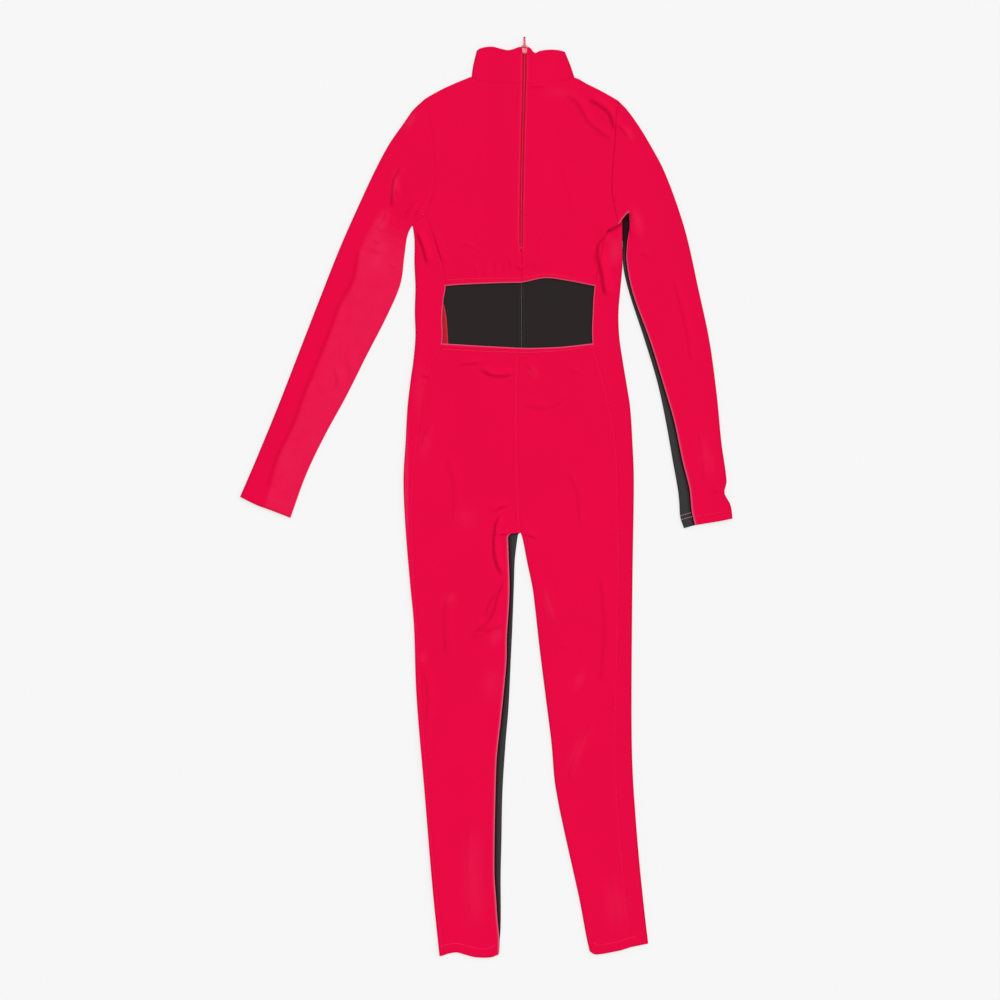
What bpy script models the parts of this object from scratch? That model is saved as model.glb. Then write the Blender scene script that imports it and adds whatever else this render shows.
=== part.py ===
"""A dance unitard laid flat with its back up, one closed solid for each cut piece of cloth.

Blender 4.5, metres, +Z up. The garment lies on z = 0 with its collar toward +Y.
Every panel is a grid of sections between four seam lines. A height function gives the upper
sheet its lie over the lower one, and short edge profiles close the grid at a fold or a seam.
"""
import math

import bpy
from mathutils import Vector

MM = 0.001

# --- Driving sizes, in millimetres -------------------------------------------------------------
WALL = 1.2            # thickness of the knit
GAP = 0.3             # space that two sheets keep where they lie on or beside each other
LIE = 2 * WALL + GAP  # height of the upper sheet's outer face where it rests on the lower one
SEAM = 0.15           # each piece stops this far from the seam line it shares
ROLL = 1.65           # outer radius where a panel wraps round an edge
STRIP_ROLL = 1.45     # outer radius of the black strips on the inner edges
UNDER = 11.0          # how far a sleeve back wraps under the sleeve
ZIP_OPEN = 3.2        # half of the slot in the upper back that shows the zip
ZIP_TOP, ZIP_END = 676.0, 370.5
TAPE, TAPE_WIDTH = 0.8, 10.5
CENTRE_FRONT = 52.0

# --- Seam and edge lines, in millimetres from the middle of the garment ------------------------
# Rows of (y, x), hem to neck, for lines that run along the body.
LEFT_EDGE = [(-688.5, -71), (-586.5, -81.5), (-442.5, -93.5), (-298.5, -105.5), (-190.5, -109.5),
             (-136.5, -114.5), (-46.5, -122), (25.5, -125), (79.5, -122), (133.5, -119),
             (169.5, -115), (205.5, -110), (241.5, -107), (277.5, -108), (313.5, -107),
             (349.5, -108.5), (385.5, -108.5), (406, -111)]
RIGHT_EDGE = [(-669.5, 242), (-622.5, 236.5), (-550.5, 229), (-478.5, 223), (-406.5, 218.5),
              (-316.5, 217), (-118.5, 218.5), (25.5, 220.5), (79.5, 218.5), (133.5, 215),
              (169.5, 209.5), (205.5, 203.5), (241.5, 198.5), (277.5, 197.5), (313.5, 200.5),
              (349.5, 203.5), (385.5, 203.5), (412, 203)]
LEFT_BACK_SEAM = [(-687.5, -65), (-514.5, -83), (-370.5, -93.5), (-244.5, -101.5),
                  (-136.5, -108.5), (-34.5, -113), (40.5, -110), (100.5, -103), (145.5, -98),
                  (198, -84.5), (228, -68), (271.5, -67), (295.5, -65), (318, -62), (360, -71),
                  (397.5, -83), (424.5, -93.5)]
RIGHT_BACK_SEAM = [(-675, 215.5), (-537, 201.5), (-397.5, 192.5), (-214.5, 195.5),
                   (-94.5, 197.5), (40.5, 194.5), (88.5, 191.5), (145.5, 181), (198, 167),
                   (232, 158.5), (277.5, 159), (313, 161.5), (360, 171.5), (385.5, 176),
                   (399, 181), (412, 191)]
LEFT_FRONT_SEAM = [(-686, -47), (-514.5, -60), (-370.5, -70), (-244.5, -78), (-94.5, -84.5),
                   (-4.5, -84.5), (100.5, -80), (175.5, -72), (228, -64), (295.5, -63),
                   (340.5, -68), (385.5, -80), (424.5, -93.5)]
RIGHT_FRONT_SEAM = [(-678, 203.5), (-537, 188.5), (-397.5, 179.5), (-214.5, 182.5),
                    (-4.5, 184), (100.5, 181), (175.5, 173.5), (228, 167), (295.5, 166),
                    (340.5, 170.5), (385.5, 177), (412, 188)]
CENTRE_BACK = [(-53, 50), (-19.5, 47.5), (85.5, 44.5), (145.5, 44.5), (223.5, 46)]
ZIP_LINE = [(321, 51.5), (417, 51.5), (532.5, 53.5), (624, 56), (676, 56.5)]
LEFT_LEG_RED = [(-684.5, 16.2), (-649.5, 16.8), (-604.5, 14), (-568.5, 11.5), (-514.5, 11.5),
                (-442.5, 13), (-388.5, 15), (-334.5, 21), (-280.5, 26.5), (-244.5, 29.5),
                (-208.5, 30), (-172.5, 32.5), (-136.5, 34), (-82.5, 32.5), (-58, 31.5)]
LEFT_LEG_BLACK = [(-684, 18.6), (-649.5, 20.5), (-622.5, 21), (-568.5, 20.8), (-514.5, 22),
                  (-442.5, 23.5), (-370.5, 28), (-316.5, 32.5), (-244.5, 36), (-190.5, 38.5),
                  (-136.5, 40.5), (-94.5, 42), (-72, 44.5), (-56, 47)]
RIGHT_LEG = [(-681, 154), (-658.5, 149), (-604.5, 139), (-550.5, 127), (-496.5, 115),
             (-460.5, 107.5), (-424.5, 101.5), (-370.5, 97), (-298.5, 88), (-226.5, 79),
             (-172.5, 73), (-136.5, 68.5), (-100.5, 61), (-64.5, 54), (-53, 50.5)]

# Points (x, y) of lines that run across, and of the armholes from underarm to shoulder tip.
HEM_LEFT = [(-65, -687.5), (-59, -685.5), (-45.5, -683.5), (-32, -686.5), (-15.5, -690),
            (-0.5, -690.8), (10.5, -689), (16.2, -684.5)]
HEM_RIGHT = [(154, -681), (161, -685.5), (170, -685.5), (190, -682), (202, -679.5),
             (215.5, -675)]
CUTOUT_TOP = [(-62, 318), (-39.5, 319.5), (20.5, 321), (51.5, 321), (65.5, 323.5),
              (80.5, 326.5), (95.5, 326.5), (125.5, 321), (161.5, 313)]
CUTOUT_BOTTOM = [(-68, 228), (-9.5, 225.5), (46, 223.5), (65.5, 223.5), (110.5, 226),
                 (158.5, 232)]
ARMHOLE_LEFT = [(-93.5, 424.5), (-87.5, 435), (-80.5, 456), (-78.5, 483), (-80, 513),
                (-83.5, 546), (-87.5, 573), (-94, 595.5)]
ARMHOLE_RIGHT = [(191, 412), (202, 415), (208, 422), (203.5, 428), (194, 433), (188.5, 441),
                 (187, 462), (187.5, 486), (190, 512), (192.5, 545), (194, 573), (197.5, 593.5)]
SHOULDER_LEFT = [(-94, 595.5), (-84.5, 601.5), (-68, 610.5), (-48.5, 619.5), (-29, 627.5),
                 (-23, 629.5)]
SHOULDER_RIGHT = [(131.5, 628.5), (149.5, 619.5), (167.5, 610.5), (184, 601.5), (197.5, 593.5)]
NECK_LEFT = [(-23, 629.5), (-9.5, 622.5), (13, 619.5), (33, 619.2), (54.6, 619)]
NECK_RIGHT = [(57, 619), (78, 619.7), (95, 620.5), (115, 623.5), (131.5, 628.5)]
NECK_FRONT = [(-23, 629.5), (0, 608), (28, 596), (52, 593), (80, 596), (108, 607),
              (131.5, 628.5)]
COLLAR_TOP_LEFT = [(-15, 670), (-3.5, 675), (13.5, 675), (32.5, 670), (46, 674.5), (56.5, 676)]
COLLAR_TOP_RIGHT = [(57, 676.5), (63.5, 676), (73, 666.5), (82.5, 670), (107.5, 670.5),
                    (117, 668.5)]
COLLAR_SIDES = [(-23, 629.5), (-20.5, 646.5), (-15, 670)], [(131.5, 628.5), (125.5, 646.5),
                                                            (117, 668.5)]

# Sleeves, cuff to armhole: outer edge point and inner edge point of each section (x, y, x, y).
SLEEVE_LEFT = [(-370, 0, -294.5, -31.5), (-345.5, 57, -270.5, 34.5), (-314, 133.5, -243.5, 91),
               (-282.5, 214.5, -210.5, 151.5), (-251, 295.5, -180.5, 211.5),
               (-219.5, 375, -149, 273), (-189.5, 442.5, -129.5, 319.5),
               (-165.5, 493.5, -123.5, 361.5), (-146, 529.5, -119, 391.5),
               (-126.5, 557.5, -112, 406.5), (-110, 580.5, -93.5, 424.5)]
SLEEVE_RIGHT = [(312, -42.5, 368.5, -32.5), (307.5, -22.5, 365.5, -12.5),
                (305.5, -3, 356.5, 6), (303.5, 13.5, 359.5, 24), (293, 55.5, 352, 79.5),
                (281, 112.5, 344.5, 156), (263.5, 172.5, 333.5, 235.5),
                (244, 235.5, 317.5, 310.5), (218.5, 306, 299.5, 391.5),
                (209.5, 352.5, 281.5, 448.5), (210.5, 382.5, 263.5, 493.5),
                (214, 409.5, 244, 529.5), (212.5, 424, 227.5, 556.5),
                (203.5, 428, 212.5, 577.5)]
# The black strip's outer edge beside the right sleeve's red inner edge, in the same order.
STRIP_RIGHT = [(295.5, -47), (290, -30), (288.5, -8), (286.5, 10.5), (278.5, 55.5),
               (268.5, 112.5), (255.5, 172.5), (236.5, 235.5), (213.5, 306), (205, 349.5),
               (205, 379), (206, 405), (209.5, 421), (203.5, 428)]

# The largest folds: a ridge from (x0, y0) to (x1, y1), its height and its half width.
FOLDS = [
    # x0, y0, x1, y1, height, half width
    (166, 380, 175, 312, 2.6, 9),
    (-104, 392, -92, 356, 2.2, 8),
    (122, 598, 186, 566, 2.4, 10),
    (28, -48, 33, -116, 2.2, 8),
    (-24, 196, 44, 186, 2.0, 10),
    (62, 196, 78, 174, 2.2, 9),
    (-139, 478, -143, 434, 2.2, 9),
    (-16, -202, 6, -188, 1.8, 12),
    (153, -338, 124, -432, 1.6, 12),
    (-176, 392, -150, 330, 1.8, 11),
    (246, 452, 232, 372, 1.8, 11),
]


# --- Lines and grids ---------------------------------------------------------------------------
def smoothstep(t):
    t = min(1.0, max(0.0, t))
    return t * t * (3 - 2 * t)


def at(table, key):
    """Value of a two-column table at key, with a smooth cubic between its rows."""
    rows = sorted(table)
    if key <= rows[0][0]:
        return rows[0][1]
    if key >= rows[-1][0]:
        return rows[-1][1]
    i = next(k for k in range(len(rows) - 1) if rows[k + 1][0] >= key)

    def slope(k):
        a, b = rows[max(0, k - 1)], rows[min(len(rows) - 1, k + 1)]
        return (b[1] - a[1]) / (b[0] - a[0])

    (x0, y0), (x1, y1) = rows[i], rows[i + 1]
    h = x1 - x0
    t = (key - x0) / h
    return (y0 * (1 + 2 * t) * (1 - t) ** 2 + slope(i) * h * t * (1 - t) ** 2
            + y1 * t * t * (3 - 2 * t) - slope(i + 1) * h * t * t * (1 - t))


def rail(table, ys):
    """Points of a line along the body at the given heights."""
    return [Vector((at(table, y), y)) for y in ys]


def points(rows):
    return [Vector(p) for p in rows]


def lengths(line):
    total, out = 0.0, [0.0]
    for a, b in zip(line, line[1:]):
        total += (b - a).length
        out.append(total)
    return [s / total for s in out]


def along(line, fractions):
    """Points at fractions of a line's length."""
    marks, out = lengths(line), []
    for f in fractions:
        i = next((k for k in range(len(line) - 2) if marks[k + 1] >= f), len(line) - 2)
        t = (f - marks[i]) / (marks[i + 1] - marks[i])
        out.append(line[i].lerp(line[i + 1], t))
    return out


def even(count):
    return [k / (count - 1) for k in range(count)]


def patch(left, right, bottom, top, fade=4):
    """Grid of points between four lines: rows go up, columns go right.

    Each row runs straight from the left line to the right one. The bend of the bottom and
    top lines is added to it, and a higher fade keeps that bend nearer to those lines.
    """
    bottom = [left[0]] + bottom[1:-1] + [right[0]]
    top = [left[-1]] + top[1:-1] + [right[-1]]
    v_marks = [(a + b) / 2 for a, b in zip(lengths(left), lengths(right))]
    u_marks = [(a + b) / 2 for a, b in zip(lengths(bottom), lengths(top))]
    grid = []
    for i, v in enumerate(v_marks):
        row = []
        for j, u in enumerate(u_marks):
            low_bend = bottom[j] - left[0].lerp(right[0], u)
            top_bend = top[j] - left[-1].lerp(right[-1], u)
            row.append(left[i].lerp(right[i], u) + low_bend * (1 - v) ** fade
                       + top_bend * v ** fade)
        grid.append(row)
    return grid


def pull_in(grid, left=0.0, right=0.0, bottom=0.0, top=0.0):
    """Move each side of a grid in from its seam line by the given distance."""
    rows, cols = len(grid), len(grid[0])
    old = [[p.copy() for p in row] for row in grid]

    def normal(line, k):
        a, b = line[max(0, k - 1)], line[min(len(line) - 1, k + 1)]
        if 0 < k < len(line) - 1:
            d0, d1 = (line[k] - a).normalized(), (b - line[k]).normalized()
            d = (d0 + d1).normalized()
            stretch = 1 / max(0.5, d.dot(d0))
        else:
            d, stretch = (b - a).normalized(), 1.0
        return Vector((d.y, -d.x)) * stretch

    for i in range(rows):
        grid[i][0] += normal([r[0] for r in old], i) * left
        grid[i][-1] -= normal([r[-1] for r in old], i) * right
    for j in range(cols):
        grid[0][j] -= normal(old[0], j) * bottom
        grid[-1][j] += normal(old[-1], j) * top
    return grid


def lift(x, y):
    """Height of the upper sheet's outer face: the lie, the zip under it and the folds."""
    zip_x = at(ZIP_LINE, y)
    over_zip = smoothstep(1 - (abs(x - zip_x) - TAPE_WIDTH - 4) / 16)
    z = LIE + (TAPE + GAP + 0.05) * over_zip * smoothstep((y - ZIP_END + 32) / 20)
    for x0, y0, x1, y1, height, half in FOLDS:
        a, b, p = Vector((x0, y0)), Vector((x1, y1)), Vector((x, y))
        t = min(1.0, max(0.0, (p - a).dot(b - a) / (b - a).length_squared))
        away = (p - a.lerp(b, t)).length
        if away < 2 * half:
            z += height * 0.5 * (1 + math.cos(math.pi * away / (2 * half)))
    return z


# --- Sections: an edge profile is a list of (in from edge, outer z, in from edge, inner z) ------
def arc_profile(radius, angles):
    inner = radius - WALL
    return [(radius - radius * math.cos(math.radians(t)), radius + radius * math.sin(math.radians(t)),
             radius - inner * math.cos(math.radians(t)), radius + inner * math.sin(math.radians(t)))
            for t in angles]


WRAP = arc_profile(ROLL, (90, 50, 15, -15, -50, -90))
STRIP = arc_profile(STRIP_ROLL, (90, 45, 0, -45, -90))
CURL = [(1.5, LIE, 1.5, LIE - WALL), (0.44, 2.26, 1.3, 1.4), (0.0, 1.2, 1.2, 1.1),
        (0.0, 0.0, 1.2, 0.0)]
FLAT = [(1.5, LIE, 1.5, LIE - WALL), (1.0, LIE, 1.0, LIE - WALL), (0.5, LIE, 0.5, LIE - WALL),
        (0.0, LIE, 0.0, LIE - WALL)]


def sheet(grid, height=None):
    """Outer and inner faces of an upper sheet over a grid."""
    height = height or lift
    outer = [[Vector((p.x, p.y, height(p.x, p.y))) for p in row] for row in grid]
    inner = [[Vector((p.x, p.y, p.z - WALL)) for p in row] for row in outer]
    return outer, inner


def floor_sheet(grid, wall=WALL):
    """Faces of a lower sheet: its underside is flat on the floor."""
    top = [[Vector((p.x, p.y, wall)) for p in row] for row in grid]
    low = [[Vector((p.x, p.y, 0.0)) for p in row] for row in grid]
    return top, low


def turned(rows):
    return [list(r) for r in zip(*rows)]


def close_edge(faces, side, strength):
    """Replace one side of an upper sheet with a curl down to the floor, 0 for none to 1."""
    outer, inner = faces
    if side in ("bottom", "top"):
        outer, inner = turned(outer), turned(inner)
    new_outer, new_inner = [], []
    for i, (orow, irow) in enumerate(zip(outer, inner)):
        k = strength(i / (len(outer) - 1))
        first = side in ("left", "bottom")
        edge, beside = (orow[0], orow[1]) if first else (orow[-1], orow[-2])
        way = Vector((beside.x - edge.x, beside.y - edge.y)).normalized()
        raise_by = edge.z / LIE
        cut_o, cut_i = [], []
        for curl, flat in zip(CURL, FLAT):
            a, z, ai, zi = (c * k + f * (1 - k) for c, f in zip(curl, flat))
            cut_o.append(Vector((edge.x + way.x * a, edge.y + way.y * a, z * raise_by)))
            wall_z = zi * (edge.z - WALL) / (LIE - WALL)
            cut_i.append(Vector((edge.x + way.x * ai, edge.y + way.y * ai, wall_z)))
        if first:
            new_outer.append(cut_o[::-1] + orow[1:])
            new_inner.append(cut_i[::-1] + irow[1:])
        else:
            new_outer.append(orow[:-1] + cut_o)
            new_inner.append(irow[:-1] + cut_i)
    if side in ("bottom", "top"):
        new_outer, new_inner = turned(new_outer), turned(new_inner)
    return new_outer, new_inner


def wrap_edge(faces, side, profile, under):
    """Roll one side of an upper sheet round its edge and on under it to the points of under.

    under holds, for each row, the points (x, y) that the sheet passes on the floor.
    """
    outer, inner = faces
    top_z = profile[0][1]
    new_outer, new_inner = [], []
    for orow, irow, low in zip(outer, inner, under):
        first = side == "left"
        o, n = (orow, irow) if first else (orow[::-1], irow[::-1])
        edge, beside = o[0], o[1]
        way = Vector((beside.x - edge.x, beside.y - edge.y)).normalized()
        cut_o = [Vector((edge.x + way.x * a, edge.y + way.y * a, z)) for a, z, _, _ in profile]
        cut_i = [Vector((edge.x + way.x * a, edge.y + way.y * a, z)) for _, _, a, z in profile]
        span = max(1e-6, math.hypot(o[-1].x - edge.x, o[-1].y - edge.y))
        body_o, body_i = [], []
        for p, q in zip(o[1:], n[1:]):
            t = math.hypot(p.x - edge.x, p.y - edge.y) / span
            rise = Vector((0, 0, (top_z - LIE) * (1 - smoothstep(t))))
            body_o.append(p + rise)
            body_i.append(q + rise)
        tail_o = [Vector((p.x, p.y, 0.0)) for p in low]
        tail_i = [Vector((p.x, p.y, WALL)) for p in low]
        row_o = tail_o[::-1] + cut_o[::-1] + body_o
        row_i = tail_i[::-1] + cut_i[::-1] + body_i
        new_outer.append(row_o if first else row_o[::-1])
        new_inner.append(row_i if first else row_i[::-1])
    return new_outer, new_inner


def solid(name, faces, colour, keep=lambda i, j: True):
    """One closed solid from an outer and an inner face grid and the rim between them."""
    outer, inner = faces
    rows, cols = len(outer), len(outer[0])
    verts = [p * MM for row in outer for p in row] + [p * MM for row in inner for p in row]
    below = rows * cols
    kept = {(i, j) for i in range(rows - 1) for j in range(cols - 1) if keep(i, j)}
    polygons = []
    for i, j in kept:
        a, b, c, d = i * cols + j, i * cols + j + 1, (i + 1) * cols + j + 1, (i + 1) * cols + j
        polygons.append((a, b, c, d))
        polygons.append((a + below, d + below, c + below, b + below))
        for (p, q), beside in (((a, b), (i - 1, j)), ((b, c), (i, j + 1)),
                               ((c, d), (i + 1, j)), ((d, a), (i, j - 1))):
            if beside not in kept:
                polygons.append((q, p, p + below, q + below))
    used = sorted({k for f in polygons for k in f})
    index = {k: n for n, k in enumerate(used)}
    mesh = bpy.data.meshes.new(name)
    mesh.from_pydata([verts[k] for k in used], [], [[index[k] for k in f] for f in polygons])
    mesh.validate()
    obj = bpy.data.objects.new(name, mesh)
    bpy.context.collection.objects.link(obj)
    obj.data.materials.append(colour)
    return obj


def paint(name, rgb, roughness, metallic=0.0):
    material = bpy.data.materials.new(name)
    material.use_nodes = True
    shader = material.node_tree.nodes["Principled BSDF"]
    shader.inputs["Base Color"].default_value = (*rgb, 1.0)
    shader.inputs["Roughness"].default_value = roughness
    shader.inputs["Metallic"].default_value = metallic
    return material


for old in list(bpy.data.objects):
    bpy.data.objects.remove(old)

RED = paint("red_knit", (0.80, 0.004, 0.055), 0.55)
BLACK = paint("black_knit", (0.022, 0.020, 0.019), 0.6)
TAPE_RED = paint("zip_tape", (0.70, 0.006, 0.05), 0.7)
COIL_PINK = paint("zip_coil", (0.80, 0.10, 0.16), 0.35)
METAL = paint("enamelled_metal", (0.55, 0.14, 0.17), 0.3, 0.8)

# --- Heights at which the rows of neighbouring panels meet --------------------------------------
LEG_ROWS = [-58 - k * 34.7 for k in range(18)][::-1]
BODY_ROWS = [-53, -36, -16, 8, 34, 60, 86, 112, 136, 160, 182, 205]
CUTOUT_ROWS = [230, 250, 272, 296]
CHEST_ROWS = [316, 333, 348, 362, 376, 388, 400]


def side_panel(name, edge, back, front, hem_y, top_y, under_arm, first_is_left):
    """A panel that wraps round the side edge, from the back seam to the seam beneath."""
    rows = [y for y in LEG_ROWS + BODY_ROWS + CUTOUT_ROWS + CHEST_ROWS if y > hem_y + 8]
    ys = rows + [under_arm]
    edge_line = [Vector((at(edge, hem_y), hem_y))] + rail(edge, ys)
    back_line = [Vector((back[0][1], back[0][0]))] + rail(back, rows) + [top_y]
    front_line = [Vector((front[0][1], front[0][0]))] + rail(front, rows)
    front_line += [front_line[-1].lerp(top_y, 0.75)]
    mid = 4
    top = [[e.lerp(b, t) for t in even(mid)] for e, b in zip(edge_line, back_line)]
    low = [[e.lerp(f, t) for t in (0.45, 1.0)] for e, f in zip(edge_line, front_line)]
    if first_is_left:
        pull_in(top, right=SEAM)
        for row in low:
            row[-1].x -= SEAM
        return solid(name, wrap_edge(sheet(top), "left", WRAP, low), RED)
    top = [row[::-1] for row in top]
    pull_in(top, left=SEAM)
    for row in low:
        row[-1].x += SEAM
    return solid(name, wrap_edge(sheet(top), "right", WRAP, low), RED)


side_panel("side_left", LEFT_EDGE, LEFT_BACK_SEAM, LEFT_FRONT_SEAM, -688.5,
           Vector((-94.5, 422)), 404, True)
side_panel("side_right", RIGHT_EDGE, RIGHT_BACK_SEAM, RIGHT_FRONT_SEAM, -669.5,
           Vector((191, 408)), 409, False)

# --- Lower back and legs ----------------------------------------------------------------------
lower_rows = LEG_ROWS + BODY_ROWS
left = [Vector((-65, -687.5))] + rail(LEFT_BACK_SEAM, lower_rows + CUTOUT_ROWS[:1])
right = ([Vector((16.2, -684.5))] + rail(LEFT_LEG_RED, LEG_ROWS) + rail(CENTRE_BACK, BODY_ROWS)
         + [Vector((46, 223.5))])
right[len(LEG_ROWS) + 1] = Vector((50, -53))
columns = [0, 0.07, 0.2, 0.36, 0.52, 0.68, 0.84, 0.94, 1]
grid = patch(left, right, along(points(HEM_LEFT), columns),
             along(points(CUTOUT_BOTTOM[:3]), columns))
solid("back_lower_left", sheet(pull_in(grid, left=SEAM, right=SEAM)), RED)

left = ([Vector((154, -681))] + rail(RIGHT_LEG, LEG_ROWS) + rail(CENTRE_BACK, BODY_ROWS)
        + [Vector((46, 223.5))])
left[len(LEG_ROWS) + 1] = Vector((50, -53))
right = [Vector((215.5, -675))] + rail(RIGHT_BACK_SEAM, lower_rows + CUTOUT_ROWS[:1])
grid = patch(left, right, along(points(HEM_RIGHT), columns),
             along(points(CUTOUT_BOTTOM[2:]), columns))
below_crotch = (len(LEG_ROWS) + 0.5) / (len(left) - 1)
faces = sheet(pull_in(grid, left=SEAM, right=SEAM))
faces = close_edge(faces, "left", lambda v: 1.0 if v < below_crotch else 0.0)
solid("back_lower_right", faces, RED)


# --- Upper back -------------------------------------------------------------------------------
def zip_side(ys, way):
    """Edge of the upper back beside the zip; below the zip's end it is the centre seam."""
    return [Vector((at(ZIP_LINE, y) + way * (SEAM + (ZIP_OPEN - SEAM)
                                             * smoothstep((y - ZIP_END + 6) / 8)), y))
            for y in ys]


armhole = points(ARMHOLE_LEFT)
left = rail(LEFT_BACK_SEAM, CHEST_ROWS) + armhole
zip_rows = [321, 336, 350, 364, 373, 386, 400, 424, 438, 456, 483, 513, 546, 573, 618.9]
right = zip_side(zip_rows, -1)
top_line = points(SHOULDER_LEFT + NECK_LEFT[1:-1]) + [right[-1]]
marks = lengths(top_line)
bottom_line = along([left[0]] + points(CUTOUT_TOP[1:3]) + [right[0]], marks)
faces = sheet(pull_in(patch(left, right, bottom_line, top_line), left=SEAM, top=SEAM))
shoulder_share = marks[len(SHOULDER_LEFT) - 1]
last = len(SHOULDER_LEFT) - 0.5
faces = close_edge(faces, "top", lambda u: 1.0 if u * (len(marks) - 1) < last - 0.9 else 0.0)
solid("back_upper_left", faces, RED)

armhole = points(ARMHOLE_RIGHT)
right = rail(RIGHT_BACK_SEAM, CHEST_ROWS) + armhole
zip_rows = [321, 336, 350, 364, 373, 386, 398, 408, 416, 424, 431, 438, 446, 462, 486, 512, 545,
            573, 618.9]
left = zip_side(zip_rows, 1)
top_line = [left[-1]] + points(NECK_RIGHT[1:] + SHOULDER_RIGHT[1:])
marks = lengths(top_line)
bottom_line = along([left[0]] + points(CUTOUT_TOP[4:]), marks)
faces = sheet(pull_in(patch(left, right, bottom_line, top_line), right=SEAM, top=SEAM))
faces = close_edge(faces, "top", lambda u: 1.0 if u * (len(marks) - 1) > 4.5 else 0.0)
solid("back_upper_right", faces, RED)

# --- Front halves -----------------------------------------------------------------------------
INSET = 1.6  # the front stops inside the edges that the red sheet curls down at
body_rows = BODY_ROWS + CUTOUT_ROWS + CHEST_ROWS
left = ([Vector((-47, -686))] + rail(LEFT_FRONT_SEAM, LEG_ROWS + body_rows)
        + points(ARMHOLE_LEFT))
front_ys = body_rows + [424, 438, 456, 476, 500, 530, 560, 593]
strip = [Vector((18.6, -684))] + rail(LEFT_LEG_BLACK, LEG_ROWS)
above = [Vector((CENTRE_FRONT, y)) for y in front_ys]
red_edge = [Vector((16.2, -684.5))] + rail(LEFT_LEG_RED, LEG_ROWS)
neck = points(SHOULDER_LEFT[:-1] + NECK_FRONT[:4])
marks = lengths(neck)
hem = along([left[0]] + points([(-32, -686.5), (-15.5, -690), (-0.5, -690.8), (11.5, -689)])
            + [strip[0]], marks)
grid = patch(left, strip + above, hem, neck)
pull_in(grid, left=SEAM, top=INSET)
for row in grid[len(strip):]:
    row[-1].x -= SEAM
outer_rows, inner_rows = [], []
for i, row in enumerate(grid):
    in_leg = i < len(strip)
    edge = row[-1]
    reach = edge.x - (red_edge[i].x if in_leg else edge.x - 16) - 2 * SEAM
    reach = max(STRIP_ROLL + 0.3, reach)
    cut = STRIP if in_leg else [(0, 0, 0, WALL)] * len(STRIP)
    returned = [(reach, LIE, reach, LIE - WALL),
                ((reach + STRIP_ROLL) / 2, LIE + 0.15, (reach + STRIP_ROLL) / 2, LIE - WALL + 0.15)]
    section = returned + list(cut)
    out = [Vector((edge.x - a, edge.y, z)) for a, z, _, _ in section]
    inn = [Vector((edge.x - a, edge.y, z)) for _, _, a, z in section]
    out += [Vector((p.x, p.y, 0.0)) for p in row[-2::-1]]
    inn += [Vector((p.x, p.y, WALL)) for p in row[-2::-1]]
    outer_rows.append(out)
    inner_rows.append(inn)
returned_columns = 2 + len(STRIP) - 1
solid("front_left", (outer_rows, inner_rows), BLACK,
      lambda i, j: i < len(strip) - 1 or j >= returned_columns)

front_ys = body_rows + [420, 430, 436, 444, 462, 486, 512, 545, 573, 593]
left = ([Vector((154, -681))] + rail(RIGHT_LEG, LEG_ROWS)
        + [Vector((CENTRE_FRONT, y)) for y in front_ys])
for p in left[:len(LEG_ROWS) + 1]:
    p.x += INSET
right = ([Vector((203.5, -678))] + rail(RIGHT_FRONT_SEAM, LEG_ROWS + body_rows)
         + points(ARMHOLE_RIGHT[:1] + ARMHOLE_RIGHT[3:]))
neck = points(NECK_FRONT[3:-1] + SHOULDER_RIGHT)
marks = lengths(neck)
hem = along([left[0]] + points([(161, -685), (170, -685), (190, -681.5)]) + [right[0]], marks)
grid = pull_in(patch(left, right, hem, neck), right=SEAM, top=INSET)
for row in grid[len(LEG_ROWS) + 1:]:
    row[0].x += SEAM
solid("front_right", floor_sheet(grid), BLACK)


# --- Sleeves ----------------------------------------------------------------------------------
def sleeve_rails(table):
    first = [Vector((r[0], r[1])) for r in table]
    second = [Vector((r[2], r[3])) for r in table]
    return first, second


outer_line, inner_line = sleeve_rails(SLEEVE_LEFT)
cap = points(ARMHOLE_LEFT[::-1][:-1])
outer_line.append(cap[0])
inner_line[-1] = Vector((-93.5, 424.5))
inner_line.append(Vector((-87.5, 435)))
cap = cap[:-1] + [inner_line[-1]]
marks = lengths(cap)
cuff = along(points([(-370, 0), (-346, -12), (-323, -20.5), (-294.5, -31.5)]), marks)
base = patch(outer_line, inner_line, cuff, cap, fade=14)
rows = len(base)
grid = [[p.copy() for p in row] for row in base]
pull_in(grid, top=SEAM)
for i in (rows - 2, rows - 1):
    way = (grid[i][-1] - grid[i][-2]).normalized()
    grid[i][-1] -= way * SEAM
faces = close_edge(sheet(grid), "right", lambda v: 1.0 if v * (rows - 1) < rows - 3.5 else 0.0)


def under_points(base_rows, first, reach):
    """Points on the floor that a wrapped edge passes, up to reach from the edge."""
    out = []
    for row in base_rows:
        edge, far = (row[0], row[-1]) if first else (row[-1], row[0])
        way = (far - edge).normalized()
        out.append([edge + way * (reach * 0.5), edge + way * reach])
    return out


solid("sleeve_back_left", wrap_edge(faces, "left", WRAP, under_points(base, True, UNDER)), RED)

def start_inside(row, reach):
    """Move the first point of a row, and any too near it, in along the row."""
    way = (row[1] - row[0]).normalized()
    start = row[0].copy()
    for j in range(len(row) - 1):
        least = reach + 4.0 * j
        if (row[j] - start).length < least:
            row[j] = start + way * least
    return row


front = pull_in([[p.copy() for p in row] for row in base], top=SEAM)
for i, row in enumerate(front):
    start_inside(row, UNDER + GAP)
    row[-1] += (row[-2] - row[-1]).normalized() * (INSET if i < rows - 2 else SEAM)
solid("sleeve_front_left", floor_sheet(front), BLACK)

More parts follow.
